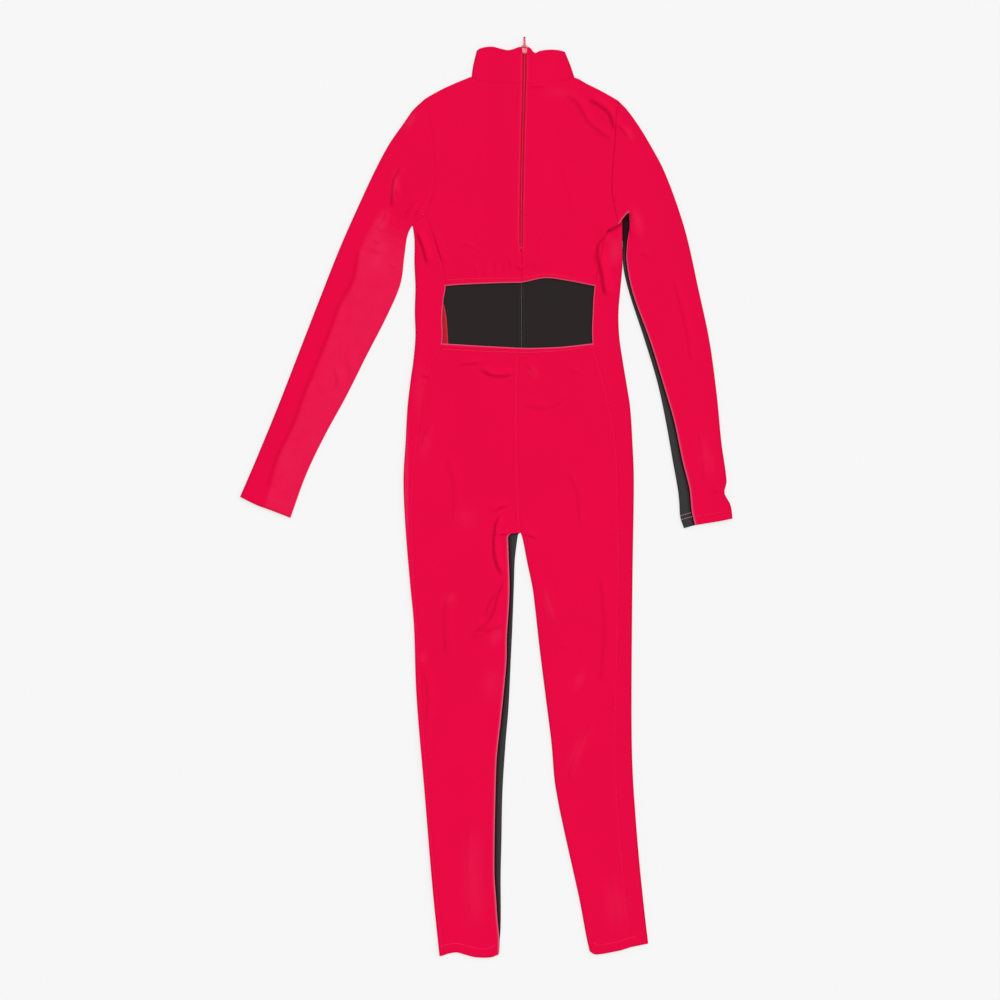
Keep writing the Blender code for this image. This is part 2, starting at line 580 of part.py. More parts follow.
inner_line, outer_line = sleeve_rails(SLEEVE_RIGHT)
cap = points([ARMHOLE_RIGHT[4]] + ARMHOLE_RIGHT[5:])
outer_line.append(cap[-1])
inner_line.append(cap[0])
marks = lengths(cap)
cuff = along(points([(312, -42.5), (334, -39), (352, -36), (368.5, -32.5)]), marks)
base = patch(inner_line, outer_line, cuff, cap, fade=14)
rows = len(base)
grid = [[p.copy() for p in row] for row in base]
pull_in(grid, left=SEAM, top=SEAM)
solid("sleeve_back_right", wrap_edge(sheet(grid), "right", WRAP,
                                     under_points(base, False, UNDER)), RED)

strip = points(STRIP_RIGHT) + [cap[0]]
outer_rows, inner_rows = [], []
low = [[p.copy() for p in row] for row in base]
for i, row in enumerate(low):
    row[0] = strip[i].copy()
pull_in(low, top=SEAM)
for row in low:
    row[:] = start_inside(row[::-1], UNDER + GAP)[::-1]
grid = [[p.copy() for p in row] for row in base]
pull_in(grid, top=SEAM)
for i, row in enumerate(low):
    red, edge = grid[i][0], row[0]
    way = (red - edge).normalized() if (red - edge).length > 0.5 else (row[1] - edge).normalized()
    reach = max(STRIP_ROLL + 0.3, (red - edge).length - SEAM)
    section = [(reach, LIE, reach, LIE - WALL),
               ((reach + STRIP_ROLL) / 2, LIE + 0.15, (reach + STRIP_ROLL) / 2,
                LIE - WALL + 0.15)] + STRIP
    out = [Vector((edge.x + way.x * a, edge.y + way.y * a, z)) for a, z, _, _ in section]
    inn = [Vector((edge.x + way.x * a, edge.y + way.y * a, z)) for _, _, a, z in section]
    out += [Vector((p.x, p.y, 0.0)) for p in row[1:]]
    inn += [Vector((p.x, p.y, WALL)) for p in row[1:]]
    outer_rows.append(out[::-1])
    inner_rows.append(inn[::-1])
under_columns = len(low[0]) - 1
solid("sleeve_front_right", (outer_rows, inner_rows), BLACK,
      lambda i, j: i < len(outer_rows) - 3 or j < under_columns)

# --- Collar: one band from the zip's right side round the front to its left side -----------------
COLLAR_WALL = WALL
COLLAR_LIE = 2 * COLLAR_WALL + GAP


def collar_lift(x, y):
    over_zip = smoothstep(1 - (abs(x - at(ZIP_LINE, y)) - TAPE_WIDTH - 4) / 18)
    return COLLAR_LIE + (TAPE + GAP + 0.05) * over_zip


def collar_row(v):
    """Section of the band at a fraction of its height."""
    roll = COLLAR_LIE / 2 + 0.2
    inner = roll - COLLAR_WALL
    left_edge = along(points(COLLAR_SIDES[0]), [v])[0]
    right_edge = along(points(COLLAR_SIDES[1]), [v])[0]
    low_l, low_r = points(NECK_LEFT), points(NECK_RIGHT)
    top_l, top_r = points(COLLAR_TOP_LEFT), points(COLLAR_TOP_RIGHT)
    out, inn = [], []

    def add(p, z_out, q, z_in):
        out.append(Vector((p.x, p.y, z_out)))
        inn.append(Vector((q.x, q.y, z_in)))

    for f in lengths(low_r)[:-1]:
        p = along(low_r, [f])[0].lerp(along(top_r, [f])[0], v)
        p.y += 0.2 * (1 - v)
        p.x += (ZIP_OPEN - 0.4) * (1 - f) ** 4
        z = collar_lift(p.x, p.y)
        add(p, z, p, z - COLLAR_WALL)
    angles = (90, 50, 15, -15, -50, -90)
    for t in angles:
        c, s = math.cos(math.radians(t)), math.sin(math.radians(t))
        p = Vector((right_edge.x - roll + roll * c, right_edge.y))
        q = Vector((right_edge.x - roll + inner * c, right_edge.y))
        add(p, roll + roll * s, q, roll + inner * s)
    for f in (0.85, 0.7, 0.5, 0.3, 0.15):
        low = along(points(NECK_FRONT), [f])[0]
        high = left_edge.lerp(right_edge, f)
        high = Vector((-15 + 132 * f, 669 + 3 * math.sin(math.pi * f)))
        p = low.lerp(high, v)
        p.y += 0.4 * (1 - v)
        add(p, 0.0, p, COLLAR_WALL)
    for t in angles[::-1]:
        c, s = math.cos(math.radians(t)), math.sin(math.radians(t))
        p = Vector((left_edge.x + roll - roll * c, left_edge.y))
        q = Vector((left_edge.x + roll - inner * c, left_edge.y))
        add(p, roll + roll * s, q, roll + inner * s)
    for f in lengths(low_l)[1:]:
        p = along(low_l, [f])[0].lerp(along(top_l, [f])[0], v)
        p.y += 0.2 * (1 - v)
        p.x -= (ZIP_OPEN - 1.2) * f ** 4
        z = collar_lift(p.x, p.y)
        add(p, z, p, z - COLLAR_WALL)
    return out, inn


band = [collar_row(v) for v in (0.0, 0.25, 0.5, 0.75, 1.0)]
solid("collar", ([row[0] for row in band], [row[1] for row in band]), RED)

# --- Zip --------------------------------------------------------------------------------------
TAPE_Z = WALL + GAP
zip_ys = [ZIP_END - 6] + [ZIP_END + k * 42 for k in range(7)] + [664.5]


def ribbon(name, offset_0, offset_1, low, high, ys, colour):
    """A flat strip beside the zip's line, between two offsets and two heights."""
    grid = [[Vector((at(ZIP_LINE, y) + offset, y)) for offset in (offset_0, offset_1)] for y in ys]
    top = [[Vector((p.x, p.y, high)) for p in row] for row in grid]
    base = [[Vector((p.x, p.y, low)) for p in row] for row in grid]
    return solid(name, (top, base), colour)


ribbon("zip_tape_left", -TAPE_WIDTH, -0.2, TAPE_Z, TAPE_Z + TAPE, zip_ys, TAPE_RED)
ribbon("zip_tape_right", 0.2, TAPE_WIDTH, TAPE_Z, TAPE_Z + TAPE, zip_ys, TAPE_RED)
COIL_Z = TAPE_Z + TAPE + GAP
coil_ys = [ZIP_END + 4.3] + [ZIP_END + k * 42 for k in range(1, 7)] + [664.5]
ribbon("zip_coil", -1.5, 1.5, COIL_Z, COIL_Z + 1.3, coil_ys, COIL_PINK)
ribbon("zip_stop", -1.9, 1.9, COIL_Z, COIL_Z + 1.4, [ZIP_END + 1.3, ZIP_END + 4], METAL)


def box(name, centre, size, bevel, colour):
    bpy.ops.mesh.primitive_cube_add(size=1, location=[c * MM for c in centre])
    obj = bpy.context.object
    obj.name = name
    obj.scale = [s * MM for s in size]
    bpy.ops.object.transform_apply(location=False, rotation=False, scale=True)
    if bevel:
        modifier = obj.modifiers.new("bevel", "BEVEL")
        modifier.width = bevel * MM
        modifier.segments = 2
        modifier.limit_method = "ANGLE"
        bpy.ops.object.modifier_apply(modifier="bevel")
    obj.data.materials.clear()
    obj.data.materials.append(colour)
    return obj


def rod(name, centre, radius, length, colour, sides=20):
    bpy.ops.mesh.primitive_cylinder_add(vertices=sides, radius=radius * MM, depth=length * MM,
                                        location=[c * MM for c in centre],
                                        rotation=(0, math.pi / 2, 0))
    obj = bpy.context.object
    obj.name = name
    bpy.ops.object.transform_apply(location=False, rotation=True, scale=False)
    obj.data.materials.append(colour)
    return obj


def combine(target, other, operation):
    modifier = target.modifiers.new(operation, "BOOLEAN")
    modifier.operation = operation
    modifier.solver = "EXACT"
    modifier.object = other
    bpy.context.view_layer.objects.active = target
    bpy.ops.object.modifier_apply(modifier=modifier.name)
    bpy.data.objects.remove(other)


SLIDER = Vector((56.4, 670.8, 0))      # middle of the slider
SLIDER_LONG, SLIDER_WIDE = 11.0, 9.0
PLATE_Z = 5.1                          # underside of the slider's upper plate
PIN = Vector((SLIDER.x, SLIDER.y + 3.4, PLATE_Z + 1.0 + 1.9))
PIN_RADIUS = 0.7

slider = box("zip_slider", (SLIDER.x, SLIDER.y, PLATE_Z + 0.5), (SLIDER_WIDE, SLIDER_LONG, 1.0),
             0.35, METAL)
foot_z = TAPE_Z
combine(slider, box("neck", (SLIDER.x, SLIDER.y, (foot_z + PLATE_Z + 0.3) / 2),
                    (2.2, 5.0, PLATE_Z + 0.3 - foot_z), 0, METAL), "UNION")
combine(slider, box("foot", (SLIDER.x, SLIDER.y, foot_z + 0.45), (4.4, 8.0, 0.9), 0.2, METAL),
        "UNION")
for way in (-1, 1):
    combine(slider, box("lug", (PIN.x + way * 2.9, PIN.y, PLATE_Z + 2.0), (1.1, 3.0, 3.4), 0.2,
                        METAL), "UNION")
combine(slider, rod("pin", PIN, PIN_RADIUS, 5.6, METAL), "UNION")

# The pull tab hangs on the pin by its eye and lies over the collar's edge.
TAB_LONG, TAB_WIDE, TAB_THICK = 16.6, 4.0, 1.2
TAB_DROP = math.radians(22)
EYE_OUT, EYE_IN = 1.75, PIN_RADIUS + 0.3
eye = rod("zip_pull", (0, 0, 0), EYE_OUT, TAB_WIDE, METAL, 24)
tab = box("tab", (0, TAB_LONG / 2 + 0.5, 0), (TAB_WIDE, TAB_LONG - 1.0, TAB_THICK), 0.3, METAL)
combine(eye, tab, "UNION")
combine(eye, rod("bore", (0, 0, 0), EYE_IN, TAB_WIDE + 2, METAL, 24), "DIFFERENCE")
eye.location = PIN * MM
eye.rotation_euler = (-TAB_DROP, 0, 0)

# --- Put the whole garment's box middle over the origin ------------------------------------------
bpy.context.view_layer.update()
corners = [o.matrix_world @ v.co for o in bpy.data.objects if o.type == "MESH"
           for v in o.data.vertices]
middle_x = (min(p.x for p in corners) + max(p.x for p in corners)) / 2
middle_y = (min(p.y for p in corners) + max(p.y for p in corners)) / 2
lowest = min(p.z for p in corners)
for obj in list(bpy.data.objects):
    obj.location.x -= middle_x
    obj.location.y -= middle_y
    obj.location.z -= lowest
print("shift", round(middle_x / MM, 3), round(middle_y / MM, 3), round(lowest / MM, 3))
print("pin at", [round(c, 6) for c in (PIN.x * MM - middle_x, PIN.y * MM - middle_y,
                                       PIN.z * MM - lowest)])
print("size", [round(max(p[k] for p in corners) - min(p[k] for p in corners), 4)
               for k in range(3)])
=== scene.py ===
# %% [markdown]
# # A dance unitard laid flat, back up
# The plain model gives each cut piece of cloth as a coarse solid. This lesson lays the real
# cloth over that frame: fine grids shaped by the seam lines, soft folds, turned hems, machine
# stitches and a coil zip. Sizes below are millimetres until a mesh is placed.

# %% Load the plain model
import math

import bpy
import numpy as np
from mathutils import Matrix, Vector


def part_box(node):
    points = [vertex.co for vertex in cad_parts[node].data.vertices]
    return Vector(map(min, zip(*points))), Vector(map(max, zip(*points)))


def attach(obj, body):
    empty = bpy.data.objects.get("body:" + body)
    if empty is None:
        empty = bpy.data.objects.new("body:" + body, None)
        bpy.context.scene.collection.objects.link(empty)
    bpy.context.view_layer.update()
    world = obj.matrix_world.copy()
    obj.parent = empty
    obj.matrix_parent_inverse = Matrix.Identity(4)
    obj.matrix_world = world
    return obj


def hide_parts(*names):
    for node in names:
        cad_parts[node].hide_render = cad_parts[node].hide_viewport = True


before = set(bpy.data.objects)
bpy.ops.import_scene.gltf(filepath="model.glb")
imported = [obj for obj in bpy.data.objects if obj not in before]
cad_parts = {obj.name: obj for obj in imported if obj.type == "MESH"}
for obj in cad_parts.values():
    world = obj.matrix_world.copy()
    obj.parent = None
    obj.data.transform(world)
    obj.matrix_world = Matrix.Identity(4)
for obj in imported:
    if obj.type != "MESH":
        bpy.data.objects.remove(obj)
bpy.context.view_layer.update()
MM = 0.001

# %% [markdown]
# ## The pattern's lines
# A garment is drawn by its seams, so the seam lines come first. Lines that run along the body
# are rows of (y, x) from hem to neck; lines that run across are points (x, y). A smooth cubic
# between the rows gives a curve from only a few of them.

# %% Seam and edge lines of the trunk and legs
LEFT_EDGE = [(-688.5, -71), (-586.5, -81.5), (-442.5, -93.5), (-298.5, -105.5), (-190.5, -109.5),
             (-136.5, -114.5), (-46.5, -122), (25.5, -125), (79.5, -122), (133.5, -119),
             (169.5, -115), (205.5, -110), (241.5, -107), (277.5, -108), (313.5, -107),
             (349.5, -108.5), (385.5, -108.5), (406, -111)]
RIGHT_EDGE = [(-669.5, 242), (-622.5, 236.5), (-550.5, 229), (-478.5, 223), (-406.5, 218.5),
              (-316.5, 217), (-118.5, 218.5), (25.5, 220.5), (79.5, 218.5), (133.5, 215),
              (169.5, 209.5), (205.5, 203.5), (241.5, 198.5), (277.5, 197.5), (313.5, 200.5),
              (349.5, 203.5), (385.5, 203.5), (417, 203)]
LEFT_BACK_SEAM = [(-687.5, -65), (-514.5, -83), (-370.5, -93.5), (-244.5, -101.5),
                  (-136.5, -108.5), (-34.5, -113), (40.5, -110), (100.5, -103), (145.5, -98),
                  (198, -84.5), (228, -68), (271.5, -67), (295.5, -65), (318, -62), (360, -71),
                  (397.5, -83), (424.5, -93.5)]
RIGHT_BACK_SEAM = [(-675, 215.5), (-537, 201.5), (-397.5, 192.5), (-214.5, 195.5),
                   (-94.5, 197.5), (40.5, 194.5), (88.5, 191.5), (145.5, 181), (198, 167),
                   (232, 158.5), (277.5, 159), (313, 161.5), (360, 171.5), (385.5, 176),
                   (399, 181)]
# The seams underneath keep clear of the cutout, so that only black shows through it.
LEFT_FRONT_SEAM = [(-686, -47), (-514.5, -60), (-370.5, -70), (-244.5, -78), (-94.5, -84.5),
                   (-4.5, -84.5), (100.5, -80), (175.5, -76), (228, -73), (295.5, -72),
                   (340.5, -72), (385.5, -80), (424.5, -93.5)]
RIGHT_FRONT_SEAM = [(-678, 203.5), (-537, 188.5), (-397.5, 179.5), (-214.5, 182.5),
                    (-4.5, 184), (100.5, 181), (175.5, 173.5), (228, 167), (295.5, 166),
                    (340.5, 170.5), (385.5, 177), (412, 188)]
CENTRE_BACK = [(-53, 50), (-19.5, 47.5), (85.5, 44.5), (145.5, 44.5), (223.5, 46)]
LEFT_LEG_RED = [(-684.5, 18.2), (-664, 18.6), (-649.5, 17.6), (-630, 15.6), (-604.5, 14),
                (-568.5, 11.5), (-514.5, 11.5), (-442.5, 13), (-388.5, 15), (-334.5, 21),
                (-280.5, 26.5), (-244.5, 29.5), (-208.5, 30), (-172.5, 32.5), (-136.5, 34),
                (-82.5, 32.5), (-58, 31.5)]
LEFT_LEG_BLACK = [(-684, 18.6), (-664, 19.4), (-649.5, 20.5), (-622.5, 21), (-568.5, 20.8),
                  (-514.5, 22), (-442.5, 23.5), (-370.5, 28), (-316.5, 32.5), (-244.5, 36),
                  (-190.5, 38.5), (-136.5, 40.5), (-94.5, 42), (-72, 44.5), (-52, 47.5)]
RIGHT_LEG = [(-681, 154), (-658.5, 149), (-604.5, 139), (-550.5, 127), (-496.5, 115),
             (-460.5, 107.5), (-424.5, 101.5), (-370.5, 97), (-298.5, 88), (-226.5, 79),
             (-172.5, 73), (-136.5, 68.5), (-100.5, 61), (-64.5, 54), (-53, 50.5)]
HEM_LEFT = [(-65, -687.5), (-59, -685), (-45.5, -683), (-33.5, -686), (-19, -689.8),
            (-3, -690.8), (9.5, -689.5), (18.2, -684.5)]
HEM_RIGHT = [(154, -681), (161, -685.5), (170, -685.5), (190, -682), (202, -679.5),
             (215.5, -675)]
CUTOUT_TOP = [(-62, 318), (-39.5, 319.5), (20.5, 321), (51.5, 321), (65.5, 323.5),
              (80.5, 326.5), (95.5, 326.5), (125.5, 321), (161.5, 313)]
CUTOUT_BOTTOM = [(-68, 228), (-9.5, 225.5), (46, 223.5), (65.5, 223.5), (110.5, 226),
                 (158.5, 232)]
CUTOUT_LOW, CUTOUT_HIGH = 230.0, 316.0
CENTRE_FRONT = 52.0
print("lines of trunk and legs are ready")

# %% Shoulders, neck, collar and sleeves
ZIP_LINE = [(321, 51.5), (417, 51.5), (532.5, 53.5), (624, 56), (676, 56.5)]
ARMHOLE_LEFT = [(-93.5, 424.5), (-87.5, 435), (-80.5, 456), (-78.5, 483), (-80, 513),
                (-83.5, 546), (-87.5, 573), (-94, 595.5)]
ARMHOLE_RIGHT = [(197, 408.4), (194.5, 420), (191, 433), (188.5, 447), (187, 462), (187.5, 486),
                 (190, 512), (192.5, 545), (194, 573), (197.5, 593.5)]
UNDERARM_FOLD = [(181, 399), (191.7, 404.5), (201.5, 411.8), (208.2, 419), (212.7, 426.2)]
ARMHOLE_UNDER = [(191, 412), (203.5, 428), (194, 433), (188.5, 441), (187, 462), (187.5, 486),
                 (190, 512), (192.5, 545), (194, 573), (197.5, 593.5)]
SHOULDER_LEFT = [(-94, 595.5), (-84.5, 601.5), (-68, 610.5), (-48.5, 619.5), (-29, 627.5),
                 (-23, 629.5)]
SHOULDER_RIGHT = [(131.5, 628.5), (149.5, 619.5), (167.5, 610.5), (184, 601.5), (197.5, 593.5)]
NECK_LEFT = [(-23, 629.5), (-9.5, 622.5), (13, 619.5), (33, 619.2), (54.6, 619)]
NECK_RIGHT = [(57, 619), (78, 619.7), (95, 620.5), (115, 623.5), (131.5, 628.5)]
NECK_FRONT = [(-23, 629.5), (0, 608), (28, 596), (52, 593), (80, 596), (108, 607),
              (131.5, 628.5)]
COLLAR_TOP_LEFT = [(-15, 669.5), (-10, 672.5), (-3.3, 674.5), (8.7, 675.2), (20.7, 672.2),
                   (31.2, 670), (38.7, 671.5), (46.2, 674.5), (53.4, 675.5)]
COLLAR_TOP_RIGHT = [(59.8, 675.8), (63.5, 675), (67.2, 672.2), (70.2, 667.5), (74, 665.7),
                    (79.2, 668.5), (92.7, 670.7), (107.7, 670), (117, 667.5)]
COLLAR_LEFT_SIDE = [(-23, 629.5), (-20.5, 646.5), (-15, 669.5)]
COLLAR_RIGHT_SIDE = [(131.5, 628.5), (125.5, 646.5), (117, 667.5)]
SLEEVE_LEFT_OUTER = [(-370, 0), (-345.5, 57), (-314, 133.5), (-282.5, 214.5), (-251, 295.5),
                     (-219.5, 375), (-189.5, 442.5), (-165.5, 493.5), (-146, 529.5),
                     (-126.5, 557.5), (-110, 580.5), (-94, 595.5)]
SLEEVE_LEFT_INNER = [(-294.5, -31.5), (-270.5, 34.5), (-243.5, 91), (-210.5, 151.5),
                     (-180.5, 211.5), (-149, 273), (-129.5, 319.5), (-123.5, 361.5),
                     (-119, 391.5), (-112, 406.5), (-93.5, 424.5), (-87.5, 435)]
SLEEVE_RIGHT_INNER = [(312, -42.5), (307.5, -22.5), (305.5, -3), (303.5, 13.5), (293, 55.5),
                      (281, 112.5), (263.5, 172.5), (244, 235.5), (218.5, 306), (209.5, 352.5),
                      (210.5, 382.5), (214, 404), (213.8, 416), (212.7, 426.2), (197, 408.4)]
SLEEVE_RIGHT_OUTER = [(368.5, -32.5), (365.5, -12.5), (356.5, 6), (359.5, 24), (352, 79.5),
                      (344.5, 156), (333.5, 235.5), (317.5, 310.5), (299.5, 391.5),
                      (281.5, 448.5), (263.5, 493.5), (244, 529.5), (227.5, 556.5),
                      (210, 580.5), (197.5, 593.5)]
STRIP_RIGHT = [(295.5, -47), (290, -30), (288.5, -8), (286.5, 10.5), (278.5, 55.5),
               (268.5, 112.5), (255.5, 172.5), (236.5, 235.5), (213.5, 306), (204.5, 345),
               (203.7, 379), (203.2, 404), (203.2, 417), (205, 425), (208.5, 431)]
print("lines of shoulders and sleeves are ready")

# %% [markdown]
# ## Curves from a few points
# `at` reads a smooth curve off a two-column table, `rail` walks one along the body, and `flow`
# runs an even line through loose points. Every panel that shares a seam reads the same table,
# so the two edges meet all the way along.


# %% Curve helpers
def smooth(t):
    t = np.clip(t, 0, 1)
    return t * t * (3 - 2 * t)


def at(table, key):
    """Value of a two-column table at key, along a cubic that passes every row."""
    rows = np.array(sorted(table), float)
    x, y = rows[:, 0], rows[:, 1]
    ahead, behind = np.r_[1:len(x), len(x) - 1], np.r_[0, 0:len(x) - 1]
    slope = (y[ahead] - y[behind]) / (x[ahead] - x[behind])
    key = np.clip(key, x[0], x[-1])
    i = np.clip(np.searchsorted(x, key) - 1, 0, len(x) - 2)
    h = x[i + 1] - x[i]
    t = (key - x[i]) / h
    return (y[i] * (1 + 2 * t) * (1 - t) ** 2 + slope[i] * h * t * (1 - t) ** 2
            + y[i + 1] * t * t * (3 - 2 * t) - slope[i + 1] * h * t * t * (1 - t))


def rail(table, low, high, n=120):
    """A line along the body between two heights."""
    ys = np.linspace(low, high, n)
    return np.stack([at(table, ys), ys], 1)


def steps_along(line):
    return np.concatenate([[0], np.cumsum(np.hypot(*np.diff(line, axis=0).T))])


def evenly(line, n):
    marks = steps_along(line)
    t = np.linspace(0, marks[-1], n)
    return np.stack([np.interp(t, marks, line[:, k]) for k in (0, 1)], 1)


def flow(points, n=120):
    """An even, smooth line through points (x, y)."""
    p = np.array(points, float)
    marks = steps_along(p)
    fine = np.linspace(0, marks[-1], 600)
    line = np.stack([at(list(zip(marks, p[:, k])), fine) for k in (0, 1)], 1)
    return evenly(line, n)


def chain(*lines):
    return np.concatenate([lines[0]] + [line[1:] for line in lines[1:]])


def direction(line):
    """Unit vectors along a line."""
    way = np.gradient(line, axis=0)
    return way / np.hypot(*way.T)[:, None]


def beside(line, distance):
    """The same line, moved sideways to its left."""
    way = direction(line)
    return line + np.stack([-way[:, 1], way[:, 0]], 1) * distance


def bell(distance, width):
    return np.exp(-(distance / width) ** 2)


def raised(grid, z):
    """Points (x, y) with their heights added."""
    return np.concatenate([grid, z[..., None]], -1)


# The upper end of the coil's solid tells where the pattern lies in the plain model.
coil_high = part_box("zip_coil")[1]
COIL_TOP, COIL_HALF = 664.5, 1.5
PLACE = np.array([coil_high.x / MM - (at(ZIP_LINE, COIL_TOP) + COIL_HALF),
                  coil_high.y / MM - COIL_TOP, 0.0])
print("pattern moves by", PLACE.round(3), "mm")

# %% [markdown]
# ## Folds in the upper cloth
# A fold in a thin knit is not a round wave: it has a steep foot, which stays in shadow, and a
# long easy back, which takes the light. So each fold is a line along its dark foot, with a
# height and a width, and its back always lies on the side that the key light comes from.

# %% Folds and where they lie
LIGHT_FROM = np.array([0.74, 0.67])
FOLDS = [
    # height, width, points along the foot
    (3.0, 9, [(182, 396), (174, 386), (166.5, 376), (166, 364), (168.5, 349), (172, 332),
              (175, 312), (179, 298)]),
    (1.0, 7, [(160, 372), (163, 352), (163.5, 335)]),
    (2.6, 8, [(-107, 399), (-98, 379), (-92, 358.5), (-89, 346)]),
    (1.0, 7, [(-80.5, 400), (-73.5, 371), (-64, 346)]),
    (1.5, 5, [(-97, 437), (-103, 428), (-111, 416)]),
    (1.3, 5, [(-103, 441), (-113, 434), (-126, 420)]),
    (0.9, 5, [(-96, 448), (-106, 443), (-119, 434)]),
    (2.0, 8, [(-127, 497), (-139, 476), (-142, 455), (-143, 432)]),
    (1.3, 6, [(-133, 470), (-136, 458), (-135, 446)]),
    (0.9, 6, [(-168, 405), (-158, 398), (-150, 400)]),
    (0.9, 6, [(-176, 390), (-164, 381), (-152, 384)]),
    (0.7, 6, [(-178, 374), (-165, 366), (-150, 370)]),
    (1.1, 6, [(-150, 428), (-156, 414), (-166, 402)]),
    (0.9, 7, [(-150, 350), (-142, 344), (-134, 346)]),
    (2.6, 8, [(150, 597), (170, 586), (184, 572), (191, 548)]),
    (1.3, 8, [(116, 604), (136, 588), (152, 562), (186, 534)]),
    (1.0, 6, [(194, 562), (204, 548), (214, 536)]),
    (0.9, 6, [(60, 617), (72, 614), (92, 616)]),
    (1.5, 6, [(-44, 197), (-24, 199), (-4, 202)]),
    (2.4, 7, [(-12, 192), (4, 183), (20, 180.5), (43, 184)]),
    (1.0, 6, [(56, 201), (66, 191), (77, 174)]),
    (0.7, 9, [(52, 138), (84, 132), (104, 138), (124, 156)]),
    (0.7, 8, [(120, 188), (140, 186)]),
    (1.1, 7, [(-104, 186), (-94, 180), (-82, 182)]),
    (1.0, 8, [(-84, 110), (-94, 92), (-100, 74)]),
    (1.6, 8, [(8, -30), (14, -20), (36, -11)]), (2.0, 4, [(17, -59), (25, -56), (34, -56.5)]),
    (3.0, 7, [(20, -26), (12.5, -45), (10.5, -76), (13.5, -98), (23, -119)]),
    (1.7, 8, [(27, -124), (16, -150), (8, -178), (-8, -197), (-26, -206)]),
    (1.2, 8, [(17, -140), (4, -160), (-4, -180)]),
    (1.7, 5, [(51.5, -56), (62, -58), (78, -62.5)]),
    (0.6, 9, [(80, -128), (92, -164), (99, -196)]),
    (0.5, 8, [(104, -222), (116, -226), (128, -224)]),
    (0.6, 10, [(120, -426), (134, -382), (156, -338)]),
    (0.9, 12, [(-20, -196), (4, -200), (28, -192)]),
    (0.9, 6, [(-44, 372), (-32, 377), (-16, 371)]),
    (0.4, 7, [(72, 366), (80, 386), (90, 402)]),
    (1.0, 7, [(181, 428), (190, 440), (196, 456)]),
    (1.4, 7, [(216, 388), (214, 406), (218, 432)]),
    (0.8, 7, [(228, 366), (240, 360), (250, 364)]),
    (0.9, 13, [(-192, 372), (-201, 326), (-223, 284), (-235, 250), (-253, 205), (-272, 160),
               (-291, 108), (-313, 63), (-329, 14)]),
    (0.8, 9, [(-214, 208), (-205, 190), (-209, 172)]),
    (0.8, 8, [(-232, 196), (-224, 176), (-230, 160)]),
    (0.4, 9, [(316, 100), (322, 60), (326, 18)]),
    (0.5, 9, [(278, 330), (296, 260), (306, 200)]),
    (0.9, 6, [(352, 18), (346, 8), (334, 4)]),
    (0.7, 12, [(-58, -140), (-64, -180), (-62, -240)]),
    (0.7, 12, [(170, -120), (176, -200), (170, -280)]),
    (0.3, 12, [(-28, -480), (-30, -560), (-24, -640)]),
    (0.3, 12, [(184, -560), (190, -600), (196, -650)]),
    (0.25, 10, [(20, 560), (-8, 520), (-20, 470)]),
    (0.2, 10, [(110, 500), (120, 460), (128, 420)]),
    (0.6, 10, [(-60, 60), (-50, 10), (-52, -40)]),
    (0.6, 10, [(120, 40), (136, 0), (140, -50)]),
    (0.6, 9, [(-96, -260), (-88, -300), (-92, -340)]),
    (0.4, 4, [(-24, 350), (-18, 341), (-20, 332)]), (0.5, 4, [(-4, 346), (-3, 338), (-7, 331)]),
    (0.7, 4, [(10, 358), (13, 347), (12, 334)]), (0.5, 4, [(24, 349), (26, 342), (23, 334)]),
    (0.8, 4, [(31, 360), (34, 351), (36, 340)]), (1.4, 5, [(40, 346), (52, 341), (62, 348)]),
    (0.5, 4, [(68, 352), (72, 343), (74, 334)]),
]


def near(points, x, y, reach, taper=12.0):
    """Grid points near a line: how far to its lit side, how far away, and a weight that is 1
    along the line and fades to 0 over `taper` at both ends."""
    line = flow(points, 40)
    low, high = line.min(0) - reach, line.max(0) + reach
    hit = (x > low[0]) & (x < high[0]) & (y > low[1]) & (y < high[1])
    dx, dy = x[hit][:, None] - line[:, 0], y[hit][:, None] - line[:, 1]
    k = np.argmin(dx ** 2 + dy ** 2, axis=1)
    row = np.arange(len(k))
    way = direction(line)
    aside = way[k, 0] * dy[row, k] - way[k, 1] * dx[row, k]
    lit = np.sign((LIGHT_FROM[1] * way[:, 0] - LIGHT_FROM[0] * way[:, 1]).sum())
    length = steps_along(line)
    taper = min(taper, length[-1] / 2)
    ends = smooth(length[k] / taper) * smooth((length[-1] - length[k]) / taper)
    return hit, aside * lit, np.hypot(dx[row, k], dy[row, k]), ends


CREST, FOOT, BACK = 0.25, 0.45, 1.6     # in widths: the crest's place, the rise, the fall
DEEPEST = 0.6                           # the most that the feet of folds are shaded


def folds(x, y):
    """Height of the folds, and how much painted shade each point gets at their feet."""
    z, dark = np.zeros(np.shape(x)), np.zeros(np.shape(x))
    for height, width, points in FOLDS:
        hit, aside, _, ends = near(points, x, y, 2.2 * width)
        t = aside / width - CREST
        back = 0.5 * (1 + np.cos(np.pi * np.clip(t / BACK, 0, 1)))
        shape = np.where(t < 0, smooth((t + FOOT) / FOOT), back)
        z[hit] += height * ends * (shape - 0.14 * bell(t + 0.62, 0.2))
        # Painted shade at the feet of the folds.
        dark[hit] += 0.14 * height * ends * bell(t + 0.3, 0.22)
    return z, np.clip(dark, 0, DEEPEST)


print("folds:", len(FOLDS))

# %% [markdown]
# ## How the upper cloth lies
# The upper sheets rest on the lower ones and ride up over the zip's tapes. A few long, low
# waves keep them from looking pressed, and the folds come on top of that.

